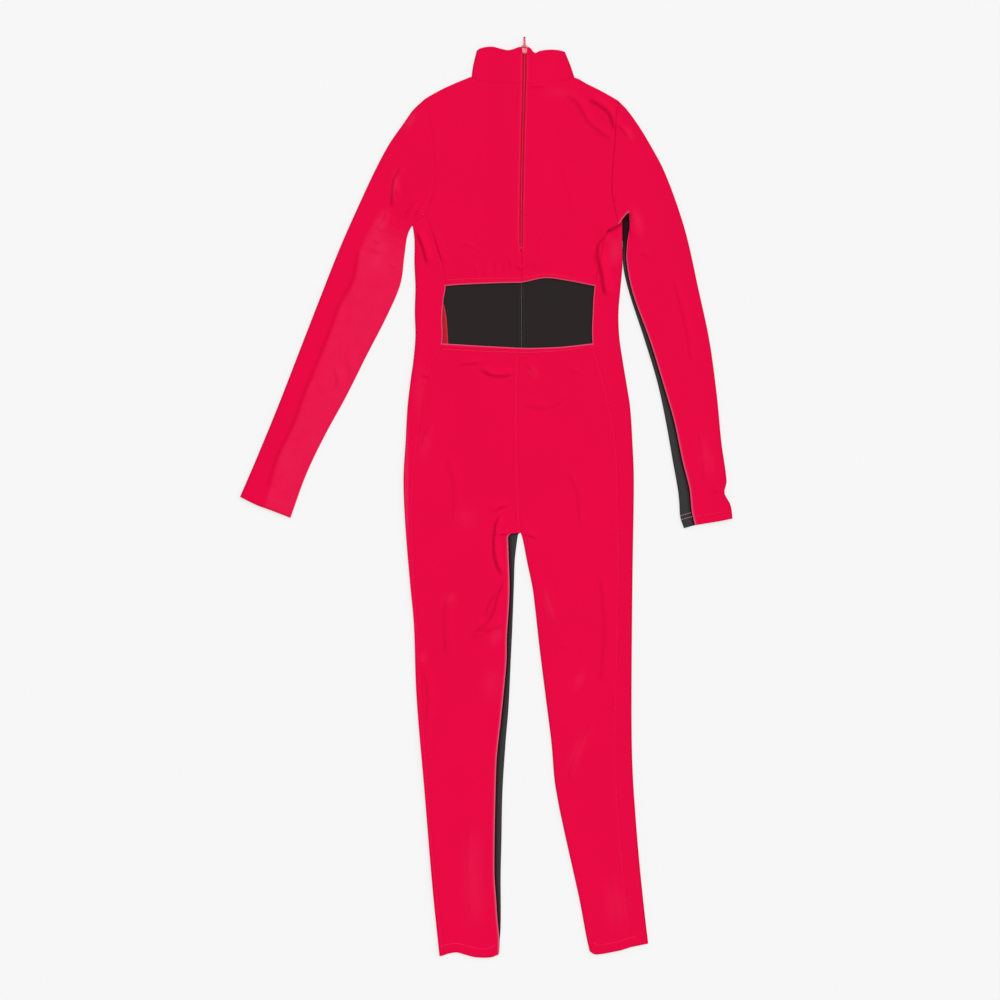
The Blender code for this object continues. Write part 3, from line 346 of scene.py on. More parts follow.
# %% Heights of the upper cloth
WALL, GAP = 1.0, 0.3                # the knit as it looks, and the air between two sheets
LIE = 2.7                           # height at which the upper cloth rests
ROLL, STRIP_ROLL = 1.65, 1.45       # radius of a wrapped edge, and of a black strip's edge
ZIP_GAP, ZIP_OPEN = 1.7, 2.2        # from the zip's line to the cloth, and by the neck
ZIP_END = 370.5                     # the zip's lower end
TAPE_WIDTH = 10.5
TAPE_RISE, TAPE_SLOPE = 1.6, 45.0   # how high the cloth rides over a tape, and how gently
FOLD_DIP, FOLD_RISE = 1.5, 1.3      # below and above the fold at the right underarm
WAVES = [
    # across, along (per mm), phase, height
    (0.021, 0.004, 0.3, 0.34), (0.047, -0.006, 1.9, 0.20), (0.012, 0.019, 4.1, 0.26),
    (-0.033, 0.011, 2.6, 0.20), (0.083, 0.009, 0.9, 0.08), (0.017, -0.043, 5.2, 0.14),
    (0.061, 0.027, 3.3, 0.10), (-0.051, 0.037, 1.1, 0.10),
]


def lift(x, y):
    """Outer height of the upper cloth at each point of the garment."""
    x, y = np.asarray(x, float), np.asarray(y, float)
    from_zip = np.abs(x - at(ZIP_LINE, y))
    over_zip = (smooth(1 - (from_zip - TAPE_WIDTH - 3) / TAPE_SLOPE)
                * smooth((y - ZIP_END + 32) / 20))
    z = LIE + TAPE_RISE * over_zip + folds(x, y)[0]
    for across, along, phase, height in WAVES:
        z = z + height * 0.5 * (1 + np.sin(across * x + along * y + phase))
    return z


def under_fold(x, y):
    """The right side panel dips where the fold at the underarm hangs over it."""
    a, b = np.array(UNDERARM_FOLD[0]), np.array(UNDERARM_FOLD[-1])
    way = (b - a) / np.hypot(*(b - a))
    above = way[0] * (y - a[1]) - way[1] * (x - a[0])
    return -FOLD_DIP * smooth((above + 4) / 5) * (y > 340)


def rise_along(points, x, y, height, reach):
    """A soft ridge along a line."""
    z = np.zeros(np.shape(x))
    hit, _, away, _ = near(points, x, y, reach + 2)
    z[hit] = height * smooth(1 - away / reach)
    return z


def over_fold(x, y):
    """The back and the sleeve rise toward the fold at the right underarm."""
    return rise_along(UNDERARM_FOLD, x, y, FOLD_RISE, 22)


# %% [markdown]
# ## Where the knit catches more light
# Where the knit faces the light it looks a little lighter, and this sheen is painted into its
# colour. These places are soft bands along a line, and on the left sleeve everything inside its
# long ridge, on the side that takes the light. The value rides on the mesh and the material reads
# it.

# %% Painted sheen on the knit
SHEEN_BANDS = [
    # strength, half width, points along the band
    (1.0, 5, [(-103, 580), (-112, 567), (-127, 545)]),
    (0.9, 5, [(-135, 500), (-137, 470), (-140, 440)]),
    (0.9, 8, [(-142, 442), (-160, 408), (-176, 370)]),
    (0.7, 9, [(-150, 400), (-160, 366), (-176, 330)]),
    (1.0, 8, [(192, 398), (192, 372), (188, 338)]), (1.6, 3, [(202, 424), (203, 390), (203, 340)]),
    (0.9, 6, [(216, 436), (228, 412), (231, 384)]),
    (0.5, 10, [(322, 104), (330, 60), (338, 16)]),
    (0.9, 8, [(24, -190), (14, -210), (2, -228)]),
    (0.5, 12, [(14, -240), (8, -280), (4, -320)]),
    (1.0, 4, [(82, -128), (92, -160), (102, -200)]),
    (0.6, 7, [(120, -424), (136, -380), (156, -340)]),
    (0.5, 14, [(-18, -480), (-20, -560), (-14, -660)]),
    (0.5, 14, [(182, -556), (192, -610), (200, -664)]),
    (0.6, 9, [(-58, -140), (-54, -164)]),
    (0.4, 14, [(-34, 0), (-30, -60)]),
    (0.5, 7, [(-100, 220), (-101, 160), (-106, 104)]),
    (0.4, 8, [(-80, 116), (-92, 80), (-98, 40)]),
    (0.7, 4, [(60, 199), (70, 186), (78, 172)]),
    (0.5, 6, [(150, -250), (140, -270), (128, -300)]),
    (0.7, 5, [(206, 560), (214, 546), (220, 528)]),
    (0.6, 5, [(-97, -226), (-95, -256)]),
    (0.4, 8, [(80, 612), (110, 606), (140, 600)]),
]
SLEEVE_RIDGE = [(-158, 440), (-192, 372), (-201, 326), (-223, 284), (-235, 250), (-253, 205),
                (-272, 160), (-291, 108), (-313, 63), (-329, 10), (-352, -64)]


SHEEN_STRENGTH = 0.6                               # how much of the light colour a full band shows


def bloom(x, y):
    """How much painted sheen lightens the knit at each point."""
    glow = np.zeros(np.shape(x))
    for strength, width, points in SHEEN_BANDS:
        hit, _, away, ends = near(points, x, y, 3 * width, taper=60.0)
        glow[hit] += SHEEN_STRENGTH * strength * ends * bell(away, width)
    hit, aside, _, ends = near(SLEEVE_RIDGE, x, y, 90, taper=70.0)
    on_sleeve = x[hit] < -118
    glow[hit] += SHEEN_STRENGTH * ends * smooth(aside / 7) * on_sleeve
    return np.clip(glow, 0, 1)


print("bloom bands:", len(SHEEN_BANDS))

# %% [markdown]
# ## Laying a panel between its seams
# `lay_out` fills the space between four lines with a grid. Its cells are 2.6 mm, and closer
# beside each edge, where the cloth turns down into a seam or over a hem. It also tells how far
# every point is from each edge, in millimetres, which the edge finishes need.

# %% Grids between four lines
NEAR_EDGE = np.array([0, 0.4, 0.9, 1.5, 2.3, 3.4, 5.0])     # grid lines beside an edge
CELL = 2.6


def marks_between(length, near_low, near_high, count):
    """Places of the grid's lines from one edge to the other."""
    room = near_low[-1] + near_high[-1]
    scale = min(1.0, length / (room + 4.0))
    low, high = near_low * scale, length - near_high[::-1] * scale
    return np.concatenate([low, np.linspace(low[-1], high[0], count + 2)[1:-1], high])


def sample(line, v):
    """Points of a line at shares 0 to 1 of its points."""
    i = v * (len(line) - 1)
    return np.stack([np.interp(i, np.arange(len(line)), line[:, k]) for k in (0, 1)], -1)


def lay_out(left, right, bottom, top, fade=4, wrap="", cell=CELL):
    length = (steps_along(left)[-1] + steps_along(right)[-1]) / 2
    down = marks_between(length, NEAR_EDGE, NEAR_EDGE, int(length / cell))
    v = down / length
    start, end = sample(left, v), sample(right, v)
    width = np.hypot(*(end - start).T)
    near_l = NEAR_EDGE + (ROLL if "l" in wrap else 0)
    near_r = NEAR_EDGE + (ROLL if "r" in wrap else 0)
    count = int(width.max() / cell)
    across = np.stack([marks_between(w, near_l, near_r, count) for w in width])
    u = across / width[:, None]
    grid = start[:, None] + (end - start)[:, None] * u[..., None]
    for line, weight in ((bottom, (1 - v) ** fade), (top, v ** fade)):
        f = np.linspace(0, 1, len(line))
        bend = line - (line[0] + (line[-1] - line[0]) * f[:, None])
        grid += np.stack([np.interp(u, f, bend[:, k]) for k in (0, 1)], -1) * weight[:, None, None]
    return {"grid": grid, "l": across, "r": width[:, None] - across,
            "b": np.repeat(down[:, None], u.shape[1], 1),
            "t": np.repeat((length - down)[:, None], u.shape[1], 1),
            "start": start, "end": end, "way": (end - start) / width[:, None], "wrap": wrap}


def share_along(panel):
    """How far along the panel each of its rows is, from 0 to 1."""
    return panel["b"][:, 0] / panel["b"][-1, 0]


# %% [markdown]
# ## Finishing the edges
# - a *seam* turns down into a groove where two pieces meet, with faint puckers beside it;
# - a *hem* is folded under, so its band is a little thicker, and its stitches press it in;
# - a *curl* rolls down to meet the front at the very edge;
# - beside the *zip* the cloth is pressed down in a narrow band;
# - a *rim* is a folded edge that lies over another piece and catches the light;
# - a *wrap* goes round the side and on underneath.
#
# Each finish also paints light and shade into the cloth's colour: painted shade, painted sheen and
# painted highlights along rims.

# %% Edge finishes
def limited(style, y):
    """1 where an edge finish holds; 'below 410' or 'above 410' ends it at a height."""
    words = style.split()
    if "below" in words:
        return smooth((float(words[-1]) - y) / 8)
    if "above" in words:
        return smooth((y - float(words[-1])) / 8)
    return 1.0


LEG_HEM, CUTOUT_HEM = "hem 16 outer", "hem 9"
CUFF_HEM_LEFT, CUFF_HEM_RIGHT = "hem 13.5 outer", "hem 15 outer"
SEAM_DIP, DEEP_DIP = 0.28, 0.8          # how far the cloth goes down into a seam
SEAM_SHADE, DEEP_SHADE = 0.08, 0.45
CURL, CURL_END = 1.9, 0.7               # radius of a curl, and the height of its edge
BESIDE_CUTOUT = 226, 320                # from here to here an open seam shows a light rim


def finish_edges(panel, z, styles):
    """Shape each edge. Returns the heights and the marks of painted light: shade, glow (sheen) and
    rim (highlight).
    """
    x, y = panel["grid"][..., 0], panel["grid"][..., 1]
    shade, glow, rim = folds(x, y)[1], bloom(x, y), np.zeros_like(z)
    for side, style in styles.items():
        a = panel[side]
        kind = style.split()[0]
        deep = "deep" in style
        dip = (DEEP_DIP if deep else SEAM_DIP) * (1 - smooth(a / 2.3))
        if kind == "seam":
            z = z - dip + 0.05 * np.sin(x * 0.5 + y * 0.9) * np.exp(-a / 4.0)
            low, high = BESIDE_CUTOUT
            at_opening = smooth((y - low) / 5) * smooth((high - y) / 5) * ("open" in style)
            # Painted shade in the seam's groove, and a painted highlight on the edge beside the
            # cutout.
            groove = (DEEP_SHADE if deep else SEAM_SHADE) * np.exp(-a / 1.1)
            shade = np.maximum(shade, groove * (1 - at_opening))
            rim = np.maximum(rim, bell(a, 1.0) * at_opening)
        elif kind == "zip":
            part = smooth((y - ZIP_END + 4) / 6)
            z = z - dip - 0.15 * bell(a - 2.6, 0.8) * part
            # Painted shade next to the zip, and a painted highlight line at the border of the
            # pressed band.
            shade = np.maximum(shade, 0.30 * (1 - smooth((a - 0.8) / 0.9)) * part)
            glow = np.maximum(glow, 0.9 * bell(a - 2.4, 0.7) * part)
        elif kind == "curl":
            part = limited(style, y)
            drop = 1 - np.sqrt(np.clip(1 - (1 - np.clip(a / CURL, 0, 1)) ** 2, 0, 1))
            z = z - (z - CURL_END) * drop * part - dip * (1 - part)
            # Painted shade where the curl turns down.
            shade = np.maximum(shade, 0.3 * np.exp(-a / CURL) * part)
        elif kind == "rim":
            part = limited(style, y)
            z = z - 0.45 * (1 - smooth(a / 1.1)) * part - dip * (1 - part)
            # Painted highlight on the folded rim.
            rim = np.maximum(rim, bell(a, 1.7) * part)
        elif kind == "hem":
            band = float(style.split()[1])
            z = z + 0.45 * smooth((band - a) / 1.4) - 0.35 * bell(a - band + 2.2, 1.0)
            z = z - 0.5 * (1 - smooth(a / 1.2))
            # Painted shade along an outer hem's edge, and a painted highlight along the other
            # hems' edges.
            shade = np.maximum(shade, 0.35 * np.exp(-a / 1.5) * ("outer" in style))
            rim = np.maximum(rim, bell(a, 1.3) * ("outer" not in style))
    return z, np.stack([shade, glow, rim])


ARC = np.radians([70, 45, 20, 0, -20, -45, -70, -90])       # round an edge, down to the floor
ARC_SHOWS = 5                                               # of these, seen from above


def wrap_round(panel, z, marks, radius, under_line, count):
    """Carry a panel round its wrapped edge and on under it. Returns points, marks and across."""
    left = "l" in panel["wrap"]
    edge = panel["start"] if left else panel["end"]
    way = panel["way"] if left else -panel["way"]
    a = panel["l"] if left else panel["r"]
    z = z + (2 * radius - LIE) * (1 - smooth(a / np.minimum(30, 0.9 * a.max(1))[:, None]))
    marks = marks.copy()
    # Painted shade on the cloth as it rounds the wrapped edge.
    marks[0] = np.maximum(marks[0], 0.2 * np.exp(-np.maximum(a - radius, 0) / 1.5))
    first = z[:, 0] if left else z[:, -1]
    cols, heights = [], []
    for angle in ARC:
        cols.append(edge + way * radius * (1 - math.cos(angle)))
        heights.append(first / 2 * (1 + math.sin(angle)))
    for f in np.linspace(0, 1, count + 1)[1:]:
        cols.append((edge + way * radius) * (1 - f) + under_line * f)
        heights.append(np.zeros(len(edge)))
    new = raised(np.stack(cols, 1), np.stack(heights, 1))
    body = raised(panel["grid"], z)
    extra = np.zeros((len(marks), len(edge), len(cols)))
    # The part of the roll seen from above gets painted shade, a darker outline.
    extra[0, :, :ARC_SHOWS] = 0.75
    extra[1:, :, :ARC_SHOWS] = marks[1:, :, [0 if left else -1]]
    from_edge = np.concatenate([(edge + way * radius)[:, None], new[..., :2]], 1)
    dist = np.cumsum(np.hypot(*np.diff(from_edge, axis=1).transpose(2, 0, 1)), 1)
    if left:
        return (np.concatenate([new[:, ::-1], body], 1),
                np.concatenate([extra[..., ::-1], marks], 2),
                np.concatenate([-dist[:, ::-1], panel["l"]], 1))
    return (np.concatenate([body, new], 1), np.concatenate([marks, extra], 2),
            np.concatenate([panel["l"], panel["l"][:, -1:] + dist], 1))


# %% [markdown]
# ## From points to cloth
# A primitive grid has one point for each place in the panel's layout, so the points only have to
# be moved there. The Solidify modifier then gives the knit its thickness, inward from the
# surface that shows. The UV map holds millimetres across and along, for the knit's loops.


# %% Cloth maker
def put(obj, points):
    """Put a mesh's points, in the pattern's millimetres, where the plain model is."""
    obj.data.vertices.foreach_set("co", ((points + PLACE) * MM).ravel())
    obj.data.update()


def added(operator, **settings):
    """Add one primitive, alone in the selection, and return it."""
    bpy.ops.object.select_all(action="DESELECT")
    operator(**settings)
    return bpy.context.object


def cloth(name, points, across, along, marks, material, wall=WALL, flat_side=False):
    rows, cols = points.shape[:2]
    obj = added(bpy.ops.mesh.primitive_grid_add, x_subdivisions=cols - 1,
                y_subdivisions=rows - 1, size=1)
    obj.name = obj.data.name = name
    co = np.empty(len(obj.data.vertices) * 3)
    obj.data.vertices.foreach_get("co", co)
    co = co.reshape(-1, 3)
    j = np.rint((co[:, 0] + 0.5) * (cols - 1)).astype(int)
    i = np.rint((co[:, 1] + 0.5) * (rows - 1)).astype(int)
    corner = np.empty(len(obj.data.loops), int)
    obj.data.loops.foreach_get("vertex_index", corner)
    uv = np.stack([across[i, j], along[i, j]], 1)[corner] * MM
    obj.data.uv_layers[0].data.foreach_set("uv", uv.ravel())
    for label, values in zip(("edge", "bloom", "rim"), marks):
        layer = obj.data.attributes.new(label, "FLOAT", "POINT")
        layer.data.foreach_set("value", values[i, j])
    put(obj, points[i, j])
    solidify = obj.modifiers.new("knit", "SOLIDIFY")
    solidify.thickness = wall * MM
    solidify.offset = -1
    bpy.ops.object.modifier_apply(modifier="knit")
    if flat_side:
        for vertex in obj.data.vertices:
            if vertex.co.z < 0.45 * MM:
                vertex.co.z = 0.0
    bpy.ops.object.shade_smooth_by_angle(angle=math.radians(50))
    obj.data.materials.append(material)
    print(name, len(obj.data.polygons), "faces")
    return obj


# %% [markdown]
# ## The knit, thread and metal
# A four-way stretch knit is matt with a faint bloom where it turns away, so the shader has some
# sheen. Its loops are two fine waves, across and along, and the colour drifts a little. The `edge`
# value that the panels carry is painted shade: it darkens the cloth in a seam's groove, at the
# feet of folds, round wrapped edges and where another edge hangs over it. A second value is
# painted sheen that lightens it, broken up by a soft noise so that no band has a clean border, and
# a third paints a highlight along folded rims.


# %% Material helpers
def new_material(name):
    material = bpy.data.materials.new(name)
    material.use_nodes = True
    tree = material.node_tree
    return material, tree.nodes, tree.links, tree.nodes["Principled BSDF"]


def math_node(nodes, links, operation, first, second):
    node = nodes.new("ShaderNodeMath")
    node.operation = operation
    node.use_clamp = operation == "MULTIPLY"
    for socket, value in zip(node.inputs, (first, second)):
        if isinstance(value, (int, float)):
            socket.default_value = value
        else:
            links.new(value, socket)
    return node.outputs[0]


def mix_colour(nodes, links, factor, first, second):
    node = nodes.new("ShaderNodeMix")
    node.data_type = "RGBA"
    links.new(factor, node.inputs["Factor"])
    for label, value in (("A", first), ("B", second)):
        if isinstance(value, tuple):
            node.inputs[label].default_value = (*value, 1)
        else:
            links.new(value, node.inputs[label])
    return node.outputs["Result"]


def set_inputs(node, values):
    for label, value in values.items():
        node.inputs[label].default_value = value


def noise_on_object(nodes, links, scale, detail=4.0):
    place_at = nodes.new("ShaderNodeTexCoord")
    noise = nodes.new("ShaderNodeTexNoise")
    set_inputs(noise, {"Scale": scale, "Detail": detail})
    links.new(place_at.outputs["Object"], noise.inputs["Vector"])
    return noise.outputs["Fac"]


def remap(nodes, links, value, low, high):
    node = nodes.new("ShaderNodeMapRange")
    set_inputs(node, {"To Min": low, "To Max": high})
    links.new(value, node.inputs["Value"])
    return node.outputs["Result"]


def tinted(colour, amount):
    return tuple(min(1.0, c * amount) for c in colour)


def mark(nodes, label):
    """A value that the cloth carries at each point."""
    node = nodes.new("ShaderNodeAttribute")
    node.attribute_name = label
    return node.outputs["Fac"]


def bumped(nodes, links, height, depth):
    """The surface's normal, from a height between 0 and 1 and a depth in millimetres."""
    bump = nodes.new("ShaderNodeBump")
    set_inputs(bump, {"Strength": 0.3, "Distance": depth * MM})
    links.new(height, bump.inputs["Height"])
    return bump.outputs["Normal"]


# Colour of the painted highlight along folded edges that catch the light, and along the hems and
# seams beside the cutout.
RIM_HIGHLIGHT = (0.70, 0.115, 0.20)
WAVE_PERIOD = 0.314         # of a wave texture whose scale is 1


def knit(name, colour, deep, light, sheen_tint, sheen, roughness, specular):
    material, nodes, links, shader = new_material(name)
    uv = nodes.new("ShaderNodeUVMap")
    uv.uv_map = "UVMap"
    loops = None
    for direction, period, weight in (("X", 0.9, 0.6), ("Y", 0.7, 0.4)):
        wave = nodes.new("ShaderNodeTexWave")
        wave.bands_direction = direction
        set_inputs(wave, {"Scale": WAVE_PERIOD / (period * MM), "Distortion": 1.2,
                          "Detail": 1.0, "Detail Scale": 0.6})
        links.new(uv.outputs["UV"], wave.inputs["Vector"])
        part = math_node(nodes, links, "MULTIPLY", wave.outputs["Fac"], weight)
        loops = part if loops is None else math_node(nodes, links, "ADD", loops, part)
    drift = noise_on_object(nodes, links, 9.0)
    patchy = noise_on_object(nodes, links, 42.0, 3.0)
    tone = mix_colour(nodes, links, drift, tinted(colour, 0.96), tinted(colour, 1.04))
    # Painted sheen: the second value the cloth carries lightens the colour toward `light`, broken
    # up by noise.
    lit = math_node(nodes, links, "MULTIPLY", mark(nodes, "bloom"),
                    remap(nodes, links, patchy, 0.35, 1.25))
    tone = mix_colour(nodes, links, lit, tone, light)
    tone = mix_colour(nodes, links, remap(nodes, links, loops, 0.14, 0.0), tone,
                      tinted(colour, 0.6))
    # Painted shade: the edge value darkens the colour toward `deep` where shade falls.
    tone = mix_colour(nodes, links, mark(nodes, "edge"), tone, deep)
    # Painted highlight along rims.
    tone = mix_colour(nodes, links, mark(nodes, "rim"), tone, RIM_HIGHLIGHT)
    links.new(tone, shader.inputs["Base Color"])
    links.new(bumped(nodes, links, loops, 0.12), shader.inputs["Normal"])
    links.new(remap(nodes, links, drift, roughness - 0.06, roughness + 0.08),
              shader.inputs["Roughness"])
    set_inputs(shader, {"Sheen Weight": sheen, "Sheen Roughness": 0.4,
                        "Sheen Tint": (*sheen_tint, 1), "Specular IOR Level": specular,
                        "Specular Tint": (*sheen_tint, 1)})
    return material


def plain_finish(name, colour, roughness, metallic=0.0, grain=900.0, depth=0.03, coat=0.0):
    """Thread, plastic or metal: a colour that drifts and a fine grain."""
    material, nodes, links, shader = new_material(name)
    noise = noise_on_object(nodes, links, grain, 3.0)
    tone = mix_colour(nodes, links, noise, tinted(colour, 0.86), tinted(colour, 1.14))
    links.new(tone, shader.inputs["Base Color"])
    links.new(remap(nodes, links, noise, max(0.05, roughness - 0.1), roughness + 0.1),
              shader.inputs["Roughness"])
    links.new(bumped(nodes, links, noise, depth), shader.inputs["Normal"])
    set_inputs(shader, {"Metallic": metallic, "Coat Weight": coat})
    return material


# %% Finishes of this garment
# For each knit: its colour, the colour of its painted shade, the colour of its painted sheen, then
# sheen tint, sheen, roughness and specular.
RED_KNIT = knit("red_knit", (0.828, 0.0022, 0.057), (0.42, 0.001, 0.018), (0.86, 0.019, 0.096),
                (1.0, 0.12, 0.3), 0.06, 0.62, 0.12)
BLACK_KNIT = knit("black_knit", (0.0195, 0.0148, 0.0142), (0.004, 0.0035, 0.0035),
                  (0.036, 0.033, 0.032), (1.0, 0.95, 0.93), 0.02, 0.7, 0.12)
STRIP_KNIT = knit("strip_knit", (0.041, 0.041, 0.041), (0.021, 0.0004, 0.0040),
                  (0.055, 0.055, 0.055), (1.0, 1.0, 1.0), 0.0, 0.8, 0.04)
TAPE_WEAVE = knit("tape_weave", (0.66, 0.004, 0.030), (0.3, 0.001, 0.012), (0.72, 0.01, 0.04),
                  (1.0, 0.3, 0.4), 0.02, 0.7, 0.1)
ALLOWANCE_KNIT = knit("allowance_knit", (0.56, 0.011, 0.030), (0.36, 0.004, 0.012),
                      (0.76, 0.045, 0.06), (1.0, 0.4, 0.4), 0.05, 0.7, 0.1)
RED_THREAD = plain_finish("red_thread", (0.74, 0.006, 0.055), 0.5)
LIT_THREAD = plain_finish("lit_thread", (0.86, 0.020, 0.090), 0.5)
GREY_THREAD = plain_finish("grey_thread", (0.52, 0.25, 0.30), 0.5)
OVERLOCK_THREAD = plain_finish("overlock_thread", (0.30, 0.003, 0.012), 0.6)
COIL_NYLON = plain_finish("coil_nylon", (0.70, 0.003, 0.035), 0.55)
PULL_ENAMEL = plain_finish("pull_enamel", (0.72, 0.15, 0.19), 0.3, metallic=0.55, grain=500,
                           depth=0.01, coat=0.5)
PULL_DARK_TIP = plain_finish("pull_dark_tip", (0.10, 0.035, 0.04), 0.4, metallic=0.2, grain=700,
                         depth=0.01)
print("materials:", len(bpy.data.materials))

# %% [markdown]
# ## Each cloth in place of its plain solid
# Each cloth replaces its plain solid and moves with the garment.


def declare(piece, replaces=None):
    if replaces:
        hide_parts(replaces)
    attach(piece, "garment")


def upper_piece(name, panel, styles, under=None, extra=None, shadow=None):
    """A red panel of the upper cloth, from its layout and the finish of each edge. A line given as
    `shadow` is where another edge hangs over it, and its shadow is painted into the colour there."""
    x, y = panel["grid"][..., 0], panel["grid"][..., 1]
    z = lift(x, y) + (extra(x, y) if extra else 0.0)
    z, marks = finish_edges(panel, z, styles)
    if shadow:
        hit, _, away, _ = near(shadow, x, y, 12)
        marks[0][hit] = np.maximum(marks[0][hit], 0.95 * bell(away, 2.4))
    across, along = panel["l"], panel["b"]
    points = raised(panel["grid"], z)
    if under is not None:
        points, marks, across = wrap_round(panel, z, marks, ROLL, *under)
        along = np.repeat(panel["b"][:, :1], points.shape[1], 1)
    obj = cloth(name + "_cloth", points, across, along, marks, RED_KNIT)
    declare(obj, name)
    return obj


# %% [markdown]
# ## Side panels
# On each side a long red panel wraps round the edge of the laid garment, so it has no side seam
# there: one seam shows on the back and the other is underneath, along the black front. At the
# left underarm it meets the sleeve, and at the right one it goes on under a fold.

# %% Side panels
sleeve_edge = flow(SLEEVE_LEFT_INNER, 2000)
first, last = (np.argmin(np.hypot(*(sleeve_edge - c).T)) for c in ((-112, 406.5), (-93.5, 424.5)))
underarm_left = sleeve_edge[first:last + 1]
edge_line = evenly(chain(rail(LEFT_EDGE, -688.5, 404.5, 500), underarm_left[:2]), 500)
back_line = evenly(rail(LEFT_BACK_SEAM, -687.5, 424.2, 500), 500)
front_line = evenly(rail(LEFT_FRONT_SEAM, -681.5, 424, 500), 500)
hem_corner = np.stack([edge_line[0], back_line[0]])
panel = lay_out(edge_line, back_line, hem_corner, underarm_left, fade=14, wrap="l")
below = sample(front_line, share_along(panel)) - (GAP / 2, 0)
upper_piece("side_left", panel, {"b": LEG_HEM, "r": "seam open", "t": "seam"},
            under=(below, 8))

edge_line = evenly(rail(RIGHT_EDGE, -669.5, 417, 500), 500)
tucked_corner = np.array([(184.0, 404.0)])
back_line = evenly(np.concatenate([rail(RIGHT_BACK_SEAM, -675, 398.9, 500), tucked_corner]), 500)
front_line = evenly(rail(RIGHT_FRONT_SEAM, -678, 411, 500), 500)
ends = [np.stack([back_line[k], edge_line[k]]) for k in (0, -1)]
panel = lay_out(back_line, edge_line, *ends, wrap="r")
below = sample(front_line, share_along(panel)) + (GAP / 2, 0)
fold_shadow = [(182, 398.5), (190, 402), (197, 406), (204.5, 412)]
upper_piece("side_right", panel, {"b": LEG_HEM, "l": "seam open"},
            under=(below, 8), extra=under_fold, shadow=fold_shadow)

# %% [markdown]
# ## Lower back and legs
# The two halves meet at the centre-back seam below the cutout and part at the crotch. The left
# half ends over the black strip in a folded rim that stands up a little at the crotch; the right
# half curls down at the inside of its leg.

# %% Lower back
SEAT = [(50, -53.5), (42, -54.5), (34.5, -55.5), (31.8, -59)]


def seat_rise(x, y):
    return rise_along(SEAT, x, y, 1.1, 14)


left = rail(LEFT_BACK_SEAM, -687.5, CUTOUT_LOW, 500)
right = chain(rail(LEFT_LEG_RED, -684.5, -60.0, 333), flow(SEAT[::-1], 8),
              rail(CENTRE_BACK, -53, 223.5, 161))
panel = lay_out(left, right, flow(HEM_LEFT), flow(CUTOUT_BOTTOM[:3]), fade=14)
upper_piece("back_lower_left", panel,
            {"l": "seam", "r": "rim below -50", "b": LEG_HEM, "t": CUTOUT_HEM},
            extra=seat_rise)

left = chain(rail(RIGHT_LEG, -681, -55, 333), flow([(51.2, -55), (50, -53)], 8),
             rail(CENTRE_BACK, -53, 223.5, 161))
right = rail(RIGHT_BACK_SEAM, -675, CUTOUT_LOW, 500)
panel = lay_out(left, right, flow(HEM_RIGHT), flow(CUTOUT_BOTTOM[2:]), fade=14)
upper_piece("back_lower_right", panel,
            {"l": "curl below -50", "r": "seam", "b": LEG_HEM, "t": CUTOUT_HEM})

# %% [markdown]
# ## Upper back
# Two pieces from the cutout to the shoulders, with the zip between them. Their edges stand a
# little apart along the zip and close to a seam below its end. The right one ends at the
# underarm in the fold that hangs over the side panel.


# %% Upper back
def zip_side(low, high, way, n):
    """The cloth's edge beside the zip: -1 gives the left one, 1 the right one."""
    ys = np.linspace(low, high, n)
    wide = ZIP_GAP + (ZIP_OPEN - ZIP_GAP) * smooth((ys - 590) / 40)
    part = 0.05 + (wide - 0.05) * smooth((ys - ZIP_END + 8) / 22)
    return np.stack([at(ZIP_LINE, ys) + way * part, ys], 1)


left = chain(rail(LEFT_BACK_SEAM, CUTOUT_HIGH, 424.5, 150), flow(ARMHOLE_LEFT, 250))
right = chain(zip_side(321, 424, -1, 150), zip_side(424, 618.9, -1, 250))
top = flow(SHOULDER_LEFT + NECK_LEFT[1:-1] + [tuple(right[-1])])
panel = lay_out(left, right, flow(CUTOUT_TOP[:4]), top)
upper_piece("back_upper_left", panel, {"l": "seam", "r": "zip", "b": CUTOUT_HEM, "t": "seam"})

left = chain(zip_side(321, 400, 1, 120), zip_side(400, 428, 1, 50), zip_side(428, 618.9, 1, 230))
right = chain(rail(RIGHT_BACK_SEAM, CUTOUT_HIGH, 399, 120),
              flow(UNDERARM_FOLD[:2] + ARMHOLE_RIGHT[:1], 50), flow(ARMHOLE_RIGHT, 230))
top = flow([tuple(left[-1])] + NECK_RIGHT[1:] + SHOULDER_RIGHT[1:])
panel = lay_out(left, right, flow(CUTOUT_TOP[3:]), top)
upper_piece("back_upper_right", panel,
            {"l": "zip", "r": "seam deep", "b": CUTOUT_HEM, "t": "seam"},
            extra=over_fold)

# %% [markdown]
# ## The black front
# The front lies under everything and shows through the cutout, where its wrong side has a
# centre seam and a few soft wrinkles. Its underside is flat on the floor.


# %% Front halves
WRINKLES = [
    # height, width, points along the wrinkle
    (0.30, 9, [(-40, 262), (0, 256), (40, 262)]), (0.25, 8, [(64, 300), (84, 280), (88, 250)]),
    (0.30, 9, [(96, 286), (120, 290), (146, 282)]), (0.20, 7, [(14, 300), (4, 284), (8, 262)]),
    (0.25, 8, [(110, 262), (130, 256), (150, 262)]),
    (0.20, 6, [(-44, 306), (-30, 300), (-20, 304)]),
]


def front_relief(x, y):
    """Inner face of the front: the centre seam, and wrinkles across the waist."""
    seam = np.abs(x - CENTRE_FRONT)
    z = WALL + 0.12 * bell(seam - 3, 2.0) - 0.1 * bell(seam, 0.8)
    z = z + 0.10 * (1 + np.sin(0.05 * x + 0.11 * y + 1.0))
    z = z + 0.08 * (1 + np.sin(0.09 * x - 0.07 * y))
    for height, width, points in WRINKLES:
        hit, aside, _, ends = near(points, x, y, 2 * width)
        z[hit] += height * ends * bell(aside, 0.5 * width)
    return np.minimum(z, LIE - WALL - 0.15)


